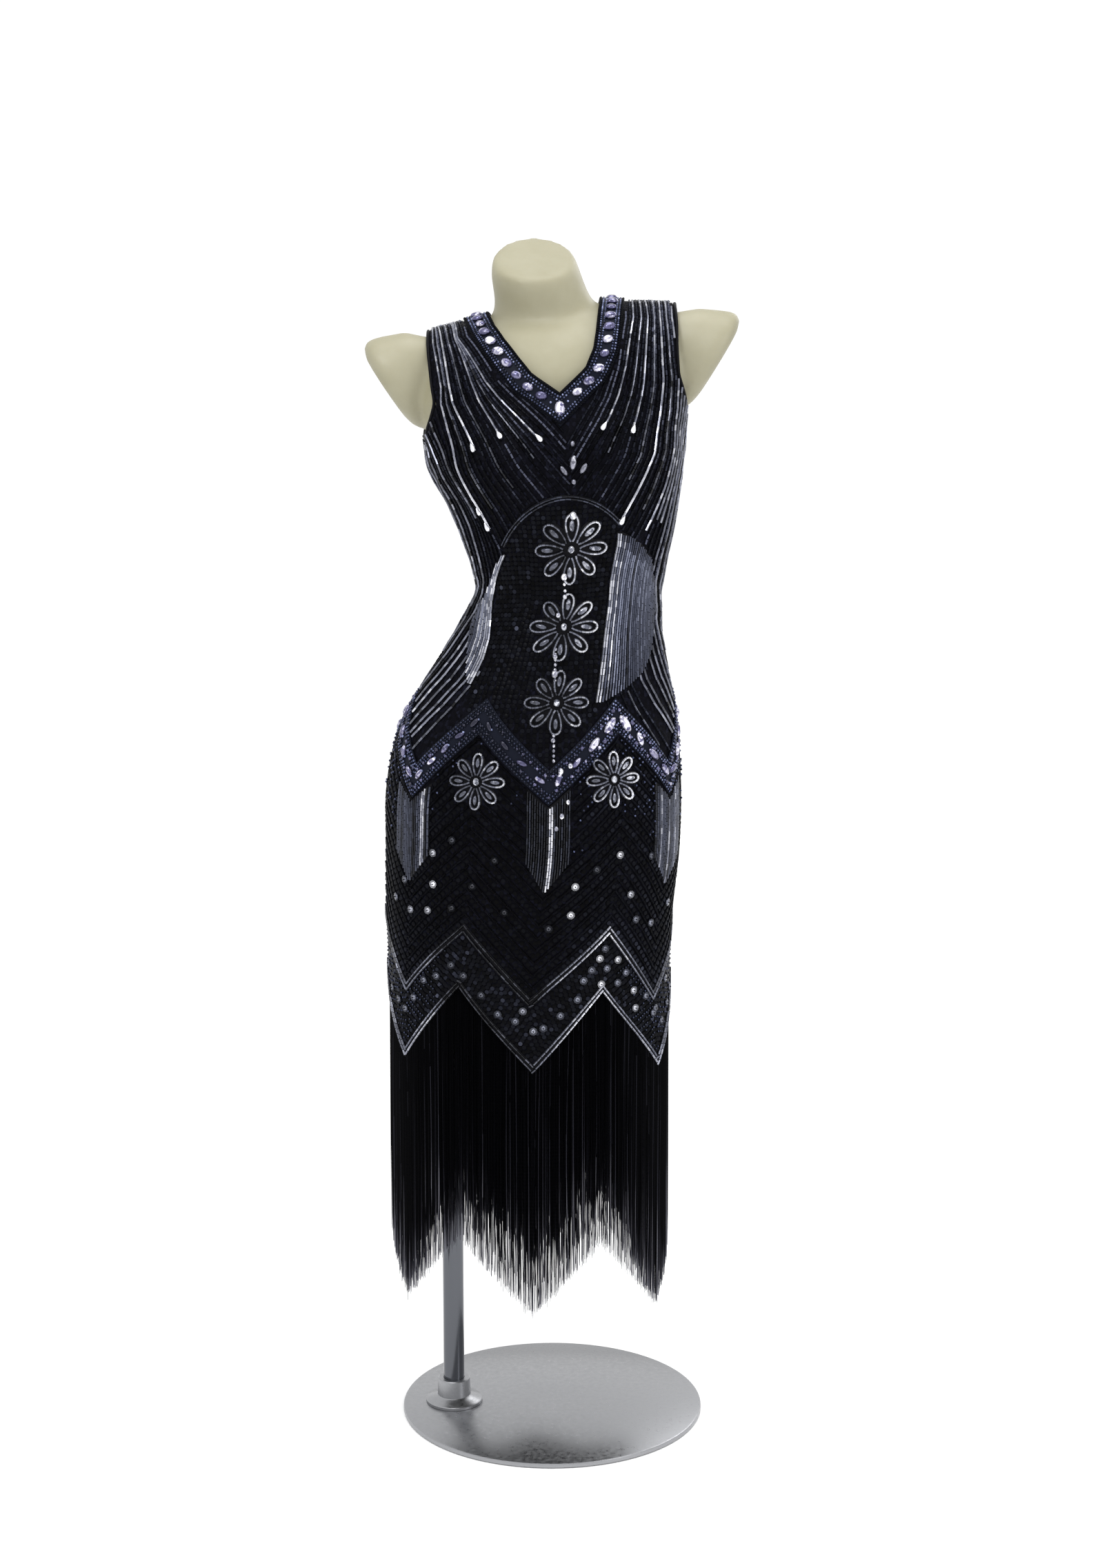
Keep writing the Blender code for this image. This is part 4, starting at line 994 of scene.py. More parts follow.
# The lines of beads that fan from the shoulders over the bust to the waist and out to the hips.
# Each column is a guide line, its angle from the middle at each height; steep lines run on the side
# whose shoulder is lower
fanHeights = np.array((
    1378, 1314, 1246, 1213, 1190, 1150, 1112, 1080, 1056, 1030, 1000, 960, 930, 900, 870, 840, 800,
))
fanSteep = np.array((
    (44, 50, 52, 60, 64, 80, 96), (38, 47, 48, 56, 62, 80, 96), (24, 33, 39, 51, 56, 80, 94),
    (12, 24, 34, 48, 56, 79, 92), (4, 17, 30, 45, 56, 77, 90), (-8, 4, 22, 39, 54, 66, 84),
    (-16, -8, 13, 33, 51, 60, 80), (-22, -16, 4, 27, 46, 57, 79), (-28, -22, -4, 22, 42, 57, 80),
    (-30, -26, -10, 16, 40, 58, 82), (-30, -28, -14, 12, 40, 61, 85), (-30, -28, -16, 10, 41, 65, 90),
    (-30, -28, -16, 10, 43, 70, 96), (-30, -28, -16, 10, 46, 77, 104), (-30, -28, -16, 10, 54, 87, 112),
    (-30, -28, -16, 10, 65, 97, 120), (-30, -28, -16, 10, 82, 112, 130),
), float)
fanPlain = np.array((
    (20, 30, 36, 44, 52, 70, 96), (20, 30, 37, 44, 52, 70, 94), (17, 26, 35, 45, 55, 72, 93),
    (12, 23, 34, 46, 58, 73, 92), (6, 19, 32, 46, 60, 74, 90), (-4, 8, 26, 43, 59, 70, 86),
    (-14, -6, 16, 34, 54, 68, 82), (-22, -16, 6, 26, 47, 66, 80), (-28, -24, -2, 20, 41, 65, 80),
    (-30, -28, -8, 14, 40, 64, 82), (-30, -28, -14, 10, 40, 65, 85), (-30, -28, -16, 8, 42, 68, 90),
    (-30, -28, -16, 8, 44, 72, 96), (-30, -28, -16, 8, 47, 78, 104), (-30, -28, -16, 8, 55, 87, 112),
    (-30, -28, -16, 8, 66, 97, 120), (-30, -28, -16, 8, 83, 112, 130),
), float)
# Silver lines: guide line, height of both ends, painted brightness at both as painted highlight and shade, and
# drops at the end
silverSteep = (
    (0.95, 1372, 1170, 0.2, 0.75, 1), (1.5, 1372, 1150, 0.3, 0.12, 0), (2.0, 1372, 1176, 0.2, 0.75, 1),
    (2.5, 1372, 1120, 0.3, 0.12, 0), (3.0, 1372, 1162, 0.3, 0.9, 1), (3.5, 1372, 1100, 0.3, 0.12, 0),
    (4.0, 1372, 1074, 0.25, 0.9, 2), (4.55, 1210, 1084, 0.3, 0.4, 0), (5.2, 1200, 820, 0.3, 0.35, 0),
    (5.65, 1190, 820, 0.3, 0.3, 0), (6.0, 1180, 900, 0.35, 0.25, 0), (3.86, 912, 790, 0.25, 0.35, 0),
    (4.0, 912, 790, 0.4, 0.75, 0), (4.14, 940, 790, 0.4, 0.55, 0), (4.36, 960, 790, 0.35, 0.45, 0),
    (4.6, 1000, 800, 0.4, 0.7, 0), (4.82, 1000, 800, 0.3, 0.45, 0),
)
silverPlain = (
    (0.95, 1372, 1178, 0.25, 0.65, 1), (1.5, 1372, 1150, 0.35, 0.12, 0), (2.0, 1372, 1172, 0.25, 0.75, 1),
    (2.5, 1372, 1120, 0.4, 0.12, 0), (3.0, 1372, 1076, 0.4, 0.9, 1), (3.5, 1372, 1084, 0.4, 0.15, 0),
    (4.0, 1372, 1060, 0.4, 0.6, 0), (4.25, 1250, 1070, 0.3, 0.4, 0), (4.5, 1300, 1066, 0.35, 0.55, 0),
    (4.8, 1230, 1000, 0.35, 0.4, 0), (5.1, 1210, 820, 0.45, 0.4, 0), (5.6, 1200, 820, 0.35, 0.3, 0),
    (6.0, 1180, 900, 0.35, 0.25, 0), (3.7, 890, 780, 0.2, 0.3, 0), (4.0, 912, 770, 0.3, 0.6, 0),
    (4.14, 912, 770, 0.25, 0.45, 0), (4.4, 960, 780, 0.25, 0.3, 0), (4.6, 1000, 790, 0.3, 0.55, 0),
    (4.82, 1000, 790, 0.25, 0.35, 0),
)
fan = {
    "pitch": 6.4, "lift": 1.4, "light": 0.9, "fat": 0.25, "dropLift": 4.2,
    "darkStep": 0.2, "darkPitch": 6.3, "darkLift": 1.2, "darkFat": 0.9, "end": 800, "apart": 0.09,
    "tilt": 0.03, "strapLight": 0.2, "strapFrom": 1225, "strapRise": 70, "fewest": 3,
    "step": 6.0, "belowSeam": 4, "fromMiddle": 0.6, "fromTrim": 2, "dropSizes": (1.15, 1.0),
    "scatter": 0.13, "darkScatter": 0.12,
}


def fanLine(face, side, line, top, end):
    # side is -1 or 1; the front's left and the back's right are the steep ones
    table = fanSteep if side * face < 0 else fanPlain
    h = np.arange(top, end, -fan["step"])
    low = min(int(line), table.shape[1] - 2)
    inner, outer = (np.interp(h, fanHeights[::-1], table[::-1, k]) for k in (low, low + 1))
    return side * (inner + (outer - inner) * (line - low)), h


def fanKeep(side, line=None, taken=()):
    # what is free above the girdle and hasn't crossed the middle; a black line also gives way to the
    # silver ones, in the middle panel and under the arch
    def keep(face, a, h):
        free = isFree(face, a, h) & overGirdle(face, a, np.minimum(h, armpit), fan["fromTrim"])
        free &= (a - middleAt(face, h)) * side > fan["fromMiddle"]
        for silverLine, top, end in taken:
            if abs(silverLine - line) < fan["apart"]:
                free &= ~((h < top) & (h > end))
        return free if line is None else free & ~underArch(a, h, arch["width"] + fan["fromTrim"])

    return keep


def onStrap(h):
    # the straps face the light, so their beads are brighter
    return fan["strapLight"] * np.clip((h - fan["strapFrom"]) / fan["strapRise"], 0, 1)


def fanBeads(face):
    silver, black = Beadwork(), Beadwork()
    high = edgesOf[face]["top"] - fan["belowSeam"]
    for side in (-1, 1):
        taken = []
        for line, top, end, shineTop, shineEnd, drops in silverSteep if side * face < 0 else silverPlain:
            a, h = fanLine(face, side, line, min(top, high), end)
            places = threadPlaces(face, a, h, fan["pitch"], fan["lift"], fanKeep(side), fan["tilt"])
            if len(places["h"]) < fan["fewest"]:
                continue
            shine = shineTop + (shineEnd - shineTop) * places["share"] + onStrap(places["h"])
            fat = 1.0 + fan["fat"] * np.clip(shine, 0, 1)
            shine = fan["light"] * shine + draw.normal(0, fan["scatter"], len(shine))
            silver.sew("bugle", places, shine, fat)
            taken.append((line, top, end))
            for k in range(drops):
                last = len(h) - 1 - 3 * k
                spot = threadPlaces(face, a[last - 1 : last + 1], h[last - 1 : last + 1], 20, fan["dropLift"])
                silver.sew("drop", spot, 1.0, fan["dropSizes"][k])
        for line in np.arange(0.0, 6.2, fan["darkStep"]):
            a, h = fanLine(face, side, line, high, fan["end"])
            keep = fanKeep(side, line, taken)
            places = threadPlaces(face, a, h, fan["darkPitch"], fan["darkLift"], keep, fan["tilt"])
            if len(places["h"]) >= fan["fewest"]:
                shine = draw.beta(1.3, 1.6) + draw.normal(0, fan["darkScatter"], len(places["h"]))
                black.sew("bugle", places, shine + onStrap(places["h"]), fan["darkFat"])
    return silver, black


(silverFront, blackFront), (silverBack, blackBack) = fanBeads(1), fanBeads(-1)
silverFront.finish("silver_rays_front", "silver", "bead_line")
silverBack.finish("silver_rays_back", "silver", "bead_line")
blackFront.finish("black_rows_front", "black", "beaded_net")
blackBack.finish("black_rows_back", "black", "beaded_net")


# Trims that are built on a ribbon of satin: the ribbon first, then its beads
def ribbon(name, stations, finish, node, wall=0.9):
    # a flat strip through stations, each a row of points across it, in mm
    long, wide = len(stations) - 1, len(stations[0]) - 1

    def place(u, v):
        i, j = np.rint(u * long).astype(int), np.rint(v * wide).astype(int)
        return stations[i, j], np.stack((i * 4.0, j * 4.0), -1)

    thinPiece(name, [(long, wide, place)], finish, node, wall)


# The jewelled band round the neck: navy ribbon, black piping on its edges, seed beads and oval stones.
# All rows are mm from the neckline, and bright is the painted light of the stones of each side from the middle
# up: their painted highlights and shade
neckBand = {
    "lines": (1.0, 7.0, 14.5, 22.0, 28.0), "step": 5.0, "lift": 1.9, "wall": 1.2, "sharpest": 1.7,
    "pipingRows": (1.6, 26.8), "pipingPitch": 3.0, "seedRows": (4.8, 8.2, 20.6, 23.8), "seedPitch": 3.5,
    "stoneRow": 14.3, "stonePitch": 16.4, "stoneLift": 1.6, "seedLift": 0.8, "betweenLift": 0.9,
    "lowestLift": 1.7, "lowestSize": 1.15, "backShare": 0.85, "lean": (20, -20), "turned": 9,
    "bright": (
        (0.35, 0.6, 0.5, 0.6, 0.85, 1.0, 0.45, 0.7, 0.4, 0.5, 0.6),
        (1.0, 0.6, 0.95, 0.5, 0.7, 0.45, 0.5, 0.35, 0.55, 0.4, 0.5),
    ),
}


def neckEdge(face):
    # the neckline as (x, length above the straps' foot), evenly dense, from the left shoulder to the right
    (vX, vShare), length = neckPointAt[face], edgesOf[face]["length"]
    rows, sides = straps[straps[:, 0] > vShare], []
    for column, order in ((1, -1), (2, 1)):
        side = np.vstack(((vX, vShare * length), rows[:, [column, 0]] * (1, length)))[::order]
        run = runOf(side)
        at = np.linspace(0, run[-1], int(run[-1] / neckBand["step"]) + 1)
        sides.append(np.stack([np.interp(at, run, values) for values in side.T], -1))
    return np.vstack((sides[0][:-1], sides[1])), len(sides[0]) - 1


def neckOffset(face, distance):
    # the neckline moved away from the neck, as angles and heights, and the number of its lowest point
    line, corner = neckEdge(face)
    step = unit(np.diff(line, axis=0))
    normal = np.stack((step[:, 1], -step[:, 0]), -1)
    before, after = np.vstack((normal[:1], normal)), np.vstack((normal, normal[-1:]))
    turn = np.maximum(1 + np.sum(before * after, axis=1, keepdims=True), 1 / neckBand["sharpest"])
    move = (before + after) / turn
    move[0], move[-1] = (1 / normal[0, 0], 0), (1 / normal[-1, 0], 0)
    x, h = (line + move * distance).T
    h = h + shoulder["foot"]
    return fromX(face, x, h), h, corner


def neckBandPieces(face, end):
    node, lift, stations = "neck_band_" + end, neckBand["lift"], []
    for distance in neckBand["lines"]:
        a, h, _ = neckOffset(face, distance)
        stations.append(onPanel(face, a, np.minimum(h, edgesOf[face]["top"] - 0.2), lift))
    ribbon("neck_ribbon_" + end, np.stack(stations, 1), "navySatin", node, neckBand["wall"])
    edges, seeds, stones = Beadwork(), Beadwork(), Beadwork()
    for distance in neckBand["pipingRows"]:
        a, h, _ = neckOffset(face, distance)
        edges.sew("seed", threadPlaces(face, a, h, neckBand["pipingPitch"], lift + neckBand["seedLift"]), 0.2)
    for distance in neckBand["seedRows"]:
        a, h, _ = neckOffset(face, distance)
        places = threadPlaces(face, a, h, neckBand["seedPitch"], lift + neckBand["seedLift"])
        seeds.sew("seed", places, draw.beta(1.3, 1.6, len(places["h"])))
    a, h, corner = neckOffset(face, neckBand["stoneRow"])
    for side, half in enumerate((slice(corner, None, -1), slice(corner, None))):
        aHalf, hHalf = a[half], h[half]
        places = threadPlaces(face, aHalf[1:], hHalf[1:], neckBand["stonePitch"], lift + neckBand["stoneLift"])
        n = len(places["h"])
        shine = np.array(neckBand["bright"][side][:n]) * (1.0 if face > 0 else neckBand["backShare"])
        turn = 90 + neckBand["lean"][side] * face + draw.normal(0, neckBand["turned"], n)
        level = spotPlaces(face, places["a"], places["h"], lift + neckBand["stoneLift"], turn)
        stones.sew("stone", level, shine, draw.uniform(0.84, 1.06, n))
        between = threadPlaces(face, aHalf, hHalf, neckBand["stonePitch"] / 2, lift + neckBand["betweenLift"])
        seeds.sew("seed", some(between, slice(1, None, 2)), 0.9, 1.2)
    lowest = spotPlaces(face, a[[corner]], h[[corner]] + 1, lift + neckBand["lowestLift"])
    stones.sew("stone", lowest, 1.0, neckBand["lowestSize"])
    edges.finish("neck_piping_" + end, "black", "jewel_band", node)
    seeds.finish("neck_seed_beads_" + end, "navyGlass", "jewel_band", node)
    stones.finish("neck_stones_" + end, "stone", "jewel_band", node, True)


# The girdle: a navy zigzag round the hips, sewn with seed beads and long stones that follow its arms.
# The tables of angle and value give the painted light of its seed beads and stones, their painted highlights
# and shade round the hips, and how large its stones are
girdleLook = {
    "lift": 1.7, "step": 2.5, "lines": (764, 774, 784, 794, 804), "backShare": 0.8,
    "rows": (767, 771.5, 776, 792, 796.5, 801), "seedPitch": 4.0, "seedLift": 0.8, "betweenLift": 0.9,
    "stoneRow": 784, "stonePitch": 23.0, "stoneLift": 1.3,
    "sparkleRows": (774, 794), "sparklePitch": 11.0, "sparkleLift": 1.2,
    # navy is the painted light of the seed beads by angle, and bright that of the stones
    "navy": (
        (-90, 0.6), (-62, 0.85), (-46, 0.6), (-36, 0.2), (-20, 0.1), (-6, 0.3), (8, 0.45), (24, 1.0),
        (60, 0.95), (90, 0.7),
    ),
    "bright": (
        (-75, 0.4), (-62, 0.6), (-50, 0.75), (-42, 0.25), (-34, 0.06), (-16, 0.05), (-6, 0.55), (4, 0.7),
        (12, 0.5), (22, 0.95), (34, 0.9), (45, 0.6), (58, 0.6), (70, 0.7),
    ),
    "large": ((-90, 1.05), (-40, 0.95), (-10, 0.9), (14, 1.0), (24, 1.45), (36, 1.4), (46, 1.1), (90, 1.1)),
}


def zigzag(face, low):
    # the chevron line that starts at a low height, over a whole panel
    a = np.arange(-90, 90.01, girdleLook["step"])
    return a, chevron(low, panelAngle(face, a))


def zigzagPlaces(face, low, pitch, lift, keep=None, jitter=0.0, inset=0.995, up=0.0):
    a, h = zigzag(face, low)
    return threadPlaces(face, a * inset, h + up, pitch, lift, keep, jitter)


def zigzagRibbon(name, face, lows, lift, finish, node):
    stations = []
    for low in lows:
        a, h = zigzag(face, low)
        stations.append(seamSpot(face, a, h, np.abs(a) > 89.9, lift)[0])
    ribbon(name, np.stack(stations, 1), finish, node)


def girdlePieces(face, end):
    node, look, lift = "girdle_" + end, girdleLook, girdleLook["lift"]
    zigzagRibbon("girdle_ribbon_" + end, face, look["lines"], lift, "navySatin", node)
    seeds, stones = Beadwork(), Beadwork()
    for low in look["rows"]:
        places = zigzagPlaces(face, low, look["seedPitch"], lift + look["seedLift"])
        lit = tableAt(look["navy"], face, places)
        n = len(lit)
        seeds.sew("seed", places, lit * draw.beta(1.6, 1.4, n), draw.uniform(0.85, 1.15, n))
    a, h = zigzag(face, look["stoneRow"])
    for start in range(-90, 90, chevronArm):
        arm = (a >= start) & (a <= start + chevronArm)
        places = threadPlaces(face, a[arm], h[arm], look["stonePitch"], lift + look["stoneLift"])
        n = len(places["h"])
        shine = tableAt(look["bright"], face, places, look["backShare"]) + draw.normal(0, 0.08, n)
        large = tableAt(look["large"], face, places) * draw.uniform(0.9, 1.15, n)
        stones.sew("petalStone", places, shine, large, draw.normal(0, 0.22, n))
        between = threadPlaces(face, a[arm], h[arm], look["stonePitch"] / 2, lift + look["betweenLift"])
        between = some(between, slice(1, None, 2))
        seeds.sew("seed", between, draw.uniform(0.3, 1.0, len(between["h"])), 1.3)
    for low in look["sparkleRows"]:
        places = zigzagPlaces(face, low, look["sparklePitch"], lift + look["sparkleLift"], None, 0.3, 0.99)
        lit = tableAt(look["bright"], face, places)
        n = len(lit)
        stones.sew("smallStone", places, lit * draw.beta(1.2, 1.2, n), 0.42 + 0.4 * lit * draw.random(n))
    seeds.finish("girdle_seed_beads_" + end, "navyGlass", "jewel_band", node)
    stones.finish("girdle_stones_" + end, "stone", "jewel_band", node, True)


# The two chevron trims of the skirt: a black ribbon with a row of silver bugles along each edge. How
# bright the rows are is painted light: painted highlights and shade that change along the hem, where beads
# turned on their threads catch the light or lie in shade
trimLook = {
    "lift": 1.3, "beadLift": 0.9, "pitch": 6.6, "tilt": 0.03,
    "lines": {"chevron": (528, 534, 540), "hem": (450, 456, 462)},
    "inset": 2.5, "rowShares": (1, 0.7), "backShare": 0.75,
    "bright": {
        "chevron": (
            (-90, 0.06), (-72, 0.06), (-62, 0.3), (-46, 0.6), (-40, 0.08), (-28, 0.02), (-8, 0.0),
            (4, 0.05), (9, 0.5), (20, 0.65), (30, 1.0), (36, 0.7), (44, 0.5), (60, 0.28), (90, 0.1),
        ),
        "hem": (
            (-90, 0.1), (-72, 0.1), (-56, 0.6), (-44, 0.75), (-36, 0.15), (-26, 0.02), (-10, 0.05),
            (0, 0.25), (8, 0.5), (16, 0.8), (28, 0.9), (38, 0.6), (58, 0.6), (70, 0.3), (90, 0.1),
        ),
    },
}


def trimPieces(face, end, trim):
    look, node, lines, lift = trimLook, trim + "_trim_" + end, trimLook["lines"][trim], trimLook["lift"]
    zigzagRibbon(trim + "_ribbon_" + end, face, lines, lift, "satin", node)
    beads = Beadwork()
    for low, share in zip((lines[0] + look["inset"], lines[-1] - look["inset"]), look["rowShares"]):
        places = zigzagPlaces(face, low, look["pitch"], lift + look["beadLift"], None, look["tilt"])
        shine = tableAt(look["bright"][trim], face, places, look["backShare"])
        beads.sew("bugle", places, shine * share + draw.normal(0, 0.07, len(shine)))
    beads.finish(trim + "_bugles_" + end, "silver", "bead_line", node)


# The arch under the bust: two close rows of hematite bugles on a satin ribbon
def archLine(distance):
    a = np.linspace(arch["left"], arch["right"], 41)
    h = archHeight(a)
    perMm = degreesPerMm(1, a, h)
    slope = -2 * arch["fall"] * (a - arch["middle"]) * perMm
    length = np.hypot(1, slope)
    return a - slope / length * distance * perMm, h + distance / length


def archPieces():
    lift, width = arch["lift"], arch["width"]
    rows = [onPanel(1, *archLine(d), lift) for d in (0, width / 2, width)]
    ribbon("arch_ribbon", np.stack(rows, 1), "satin", "under_bust_arch")
    beads = Beadwork()
    for distance in (width / 4, width * 3 / 4):
        line = archLine(distance)
        places = threadPlaces(1, *line, arch["pitch"], lift + arch["beadLift"], None, arch["tilt"])
        beads.sew("bugle", places, arch["light"] * draw.beta(1.4, 2.6, len(places["h"])))
    beads.finish("arch_bugles", "gunmetal", "bead_line", "under_bust_arch")


# Flowers: eight petals, each a loop of silver beads round a long stone, on a lobed felt of black satin
petalLook = {
    "count": 8, "wide": 0.19, "pitch": 3.9, "lift": 3.2, "from": -168, "step": 12.0,
    "felt": {"lift": 0.9, "crown": 1.1, "wall": 0.8, "lobe": 0.38},
    "stone": {"at": 0.66, "lift": 3.0, "shine": 0.75, "radius": 42},
    "heart": {"lift": 3.4, "shine": 0.9, "size": 1.1},
    "bright": (0.7, 0.82, 0.8, 0.74, 0.66, 0.52, 0.46, 0.42),
    "dim": {"flower_centre_low": 0.75, "flower_hip_left": 0.78, "flower_hip_right": 1.2},
}


def flowerPieces(name, face, angle, height, radius):
    look, felt, jewel, heart = petalLook, petalLook["felt"], petalLook["stone"], petalLook["heart"]

    def onFlower(dx, dy):
        aside = np.asarray(dx, float) * degreesPerMm(face, angle, height)
        return angle + aside, height + np.asarray(dy, float)

    def lobes(u, v):
        turn = 2 * np.pi * u
        petal = np.abs(np.cos(turn * look["count"] / 2)) ** 0.6
        r = radius * ((1 - felt["lobe"]) + felt["lobe"] * petal) * v
        dx, dy = r * np.sin(turn), r * np.cos(turn)
        lift = felt["lift"] + felt["crown"] * np.sin(np.pi * np.clip(v, 0, 1))
        return onPanel(face, *onFlower(dx, dy), lift), np.stack((dx, dy), -1)

    thinPiece(name + "_felt", [(look["count"] * 8, 4, lobes)], "satin", name, felt["wall"])
    loops, stones = Beadwork(), Beadwork()
    t = np.radians(np.arange(look["from"], 1 - look["from"], look["step"]))
    for k, bright in enumerate(look["bright"]):
        turn = 2 * math.pi * k / look["count"]
        r = radius * (0.60 + 0.38 * np.cos(t))
        w = radius * look["wide"] * np.sin(t) * (0.8 + 0.3 * np.cos(t))
        dx, dy = r * math.sin(turn) + w * math.cos(turn), r * math.cos(turn) - w * math.sin(turn)
        places = threadPlaces(face, *onFlower(dx, dy), look["pitch"], look["lift"])
        # painted light: each petal's beads are painted brighter on the lit side of the flower and towards the
        # petal's tip, and dim scales the painted light of whole flowers
        lit = bright * look["dim"].get(name, 1.0)
        along = np.cos((places["share"] * 2 - 1) * t[-1])
        shine = lit * (0.75 + 0.35 * along) + draw.normal(0, 0.12, len(along))
        loops.sew("shortBugle", places, np.clip(shine, 0.05, 1))
        r = radius * jewel["at"]
        spot = onFlower([r * math.sin(turn)], [r * math.cos(turn)])
        spot = spotPlaces(face, *spot, jewel["lift"], math.degrees(turn))
        stones.sew("petalStone", spot, lit * jewel["shine"], radius / jewel["radius"])
    middle = spotPlaces(face, *onFlower([0.0], [0.0]), heart["lift"])
    stones.sew("smallStone", middle, heart["shine"], heart["size"])
    loops.finish(name + "_petals", "silver", "bead_line", name)
    stones.finish(name + "_stones", "hematiteStone", "bead_line", name, True)


# Curtains of bugle beads hung side by side: leaves at the waist, whose strands are counted from the inner
# edge, and pendants under the girdle, whose strands are counted from the left. For each, the painted light
# of its strands from the first to the last, their painted highlights and shade, and which strands are silver
# instead of hematite
strandLook = {
    "pitch": 7.5, "apart": 2.75, "lift": 1.2, "perDegree": 1.9, "wall": 0.8, "points": 16, "cells": 13,
    "beadLift": 1.1, "tilt": 0.02, "fade": 0.35, "dip": 0.35, "silver": 0.66,
}
strandShines = {
    "side_beads_front_right": ((0, 0.75), (0.2, 0.62), (0.4, 0.55), (0.7, 0.6), (1, 0.42)),
    "side_beads_front_left": ((0, 1.0), (0.2, 0.95), (0.4, 0.8), (0.7, 0.55), (1, 0.3)),
    "pendant_front_centre": ((0, 0.04), (0.4, 0.08), (0.5, 0.12), (1, 0.06)),
    "pendant_front_left": ((0, 0.26), (0.6, 0.34), (0.85, 0.4), (1, 0.3)),
    "pendant_front_right": ((0, 0.3), (0.3, 0.34), (0.7, 0.45), (1, 0.4)),
}
silverStrands = {
    "side_beads_front_right": (0, 1, 3), "side_beads_front_left": (0, 1, 2, 4, 6),
    "pendant_front_centre": (9, 10), "pendant_front_left": (14, 15), "pendant_front_right": (3, 8, 13),
}
silverShine = {"pendant_front_centre": 0.9, "pendant_back_centre": 0.9, "pendant_front_right": 0.45}


def leafStrands(sign, edges):
    # strands at even distances from the inner edge, each as long as the leaf is that wide
    heights, inner, wide = edges[:, 0], edges[:, 1], edges[:, 2] - edges[:, 1]
    widest = int(np.argmax(wide))
    count = int(wide.max() * strandLook["perDegree"] / strandLook["apart"])
    for k in range(count):
        off = (k + 0.5) / count * wide.max()
        top = np.interp(off, wide[: widest + 1], heights[: widest + 1])
        foot = np.interp(off, wide[widest:][::-1], heights[widest:][::-1])
        h = np.linspace(top - draw.uniform(0, 3), foot, strandLook["points"])
        yield sign * (np.interp(h, heights[::-1], inner[::-1]) + off), h


def leafBacking(sign, edges):
    h = np.linspace(edges[0, 0], edges[-1, 0], 24)[:, None]
    inner, outer = (np.interp(h, edges[::-1, 0], edges[::-1, k]) for k in (1, 2))
    a = inner + (outer - inner) * np.linspace(0, 1, strandLook["cells"])
    return sign * a, np.broadcast_to(h, a.shape)


def pendantSpot(face, angle, across, down):
    # a place on a pendant: across from -1 to 1, and down from 0 to 1
    reach = across * pendant["width"] / 2
    top = pendant["top"] + pendant["slope"] * np.abs(reach)
    h = top + (pendant["tip"] + pendant["short"] * np.abs(across) - top) * down
    return angle + reach * degreesPerMm(face, angle, h), h


def pendantBacking(face, angle):
    across, down = np.meshgrid(*[np.linspace(low, 1, strandLook["cells"]) for low in (-1, 0)])
    return pendantSpot(face, angle, across, down)


def pendantStrands(face, angle):
    count = int(pendant["width"] / strandLook["apart"])
    for k in range(count):
        down = np.linspace(0.01 + draw.uniform(0, 0.03), 0.99, strandLook["points"])
        yield pendantSpot(face, angle, np.full(len(down), 2 * (k + 0.5) / count - 1), down)


def curtain(name, face, backing, strands, silverRows):
    lift, front = strandLook["lift"], name.replace("back", "front")
    ribbon(name + "_ground", onPanel(face, *backing, lift), "satin", name, strandLook["wall"])
    beads = Beadwork()
    for k, (a, h) in enumerate(strands):
        up = lift + strandLook["beadLift"]
        places = threadPlaces(face, a, h, strandLook["pitch"], up, None, strandLook["tilt"])
        n = len(places["h"])
        if k in silverStrands[front]:
            shine = silverShine.get(name, strandLook["silver"])
            silverRows.sew("longBugle", places, shine + draw.normal(0, 0.16, n))
            continue
        shine = np.interp((k + 0.5) / len(strands), *zip(*strandShines[front])) + draw.normal(0, 0.14)
        # painted light: each strand's shine is painted lower towards its foot, and lowest just under its top
        fade = 1 - strandLook["fade"] * places["share"]
        fade = fade * np.clip(strandLook["dip"] + places["share"] * 6, 0, 1)
        beads.sew("longBugle", places, shine * fade + draw.normal(0, 0.07, n))
    beads.finish(name + "_strands", "gunmetal", "bugle_beads", name)


for face, end in endOf.items():
    neckBandPieces(face, end)
    girdlePieces(face, end)
    for trim in trimLook["lines"]:
        trimPieces(face, end, trim)
    bright = Beadwork()
    for name, _, *shape in ofFace(leaves, face):
        curtain(name, face, leafBacking(*shape), list(leafStrands(*shape)), bright)
    for name, _, *shape in ofFace(pendants, face):
        curtain(name, face, pendantBacking(face, *shape), list(pendantStrands(face, *shape)), bright)
    bright.finish("bright_strands_" + end, "silver", "bugle_beads")
archPieces()
for row in flowers:
    flowerPieces(*row)
print("trims, flowers and curtains of beads")
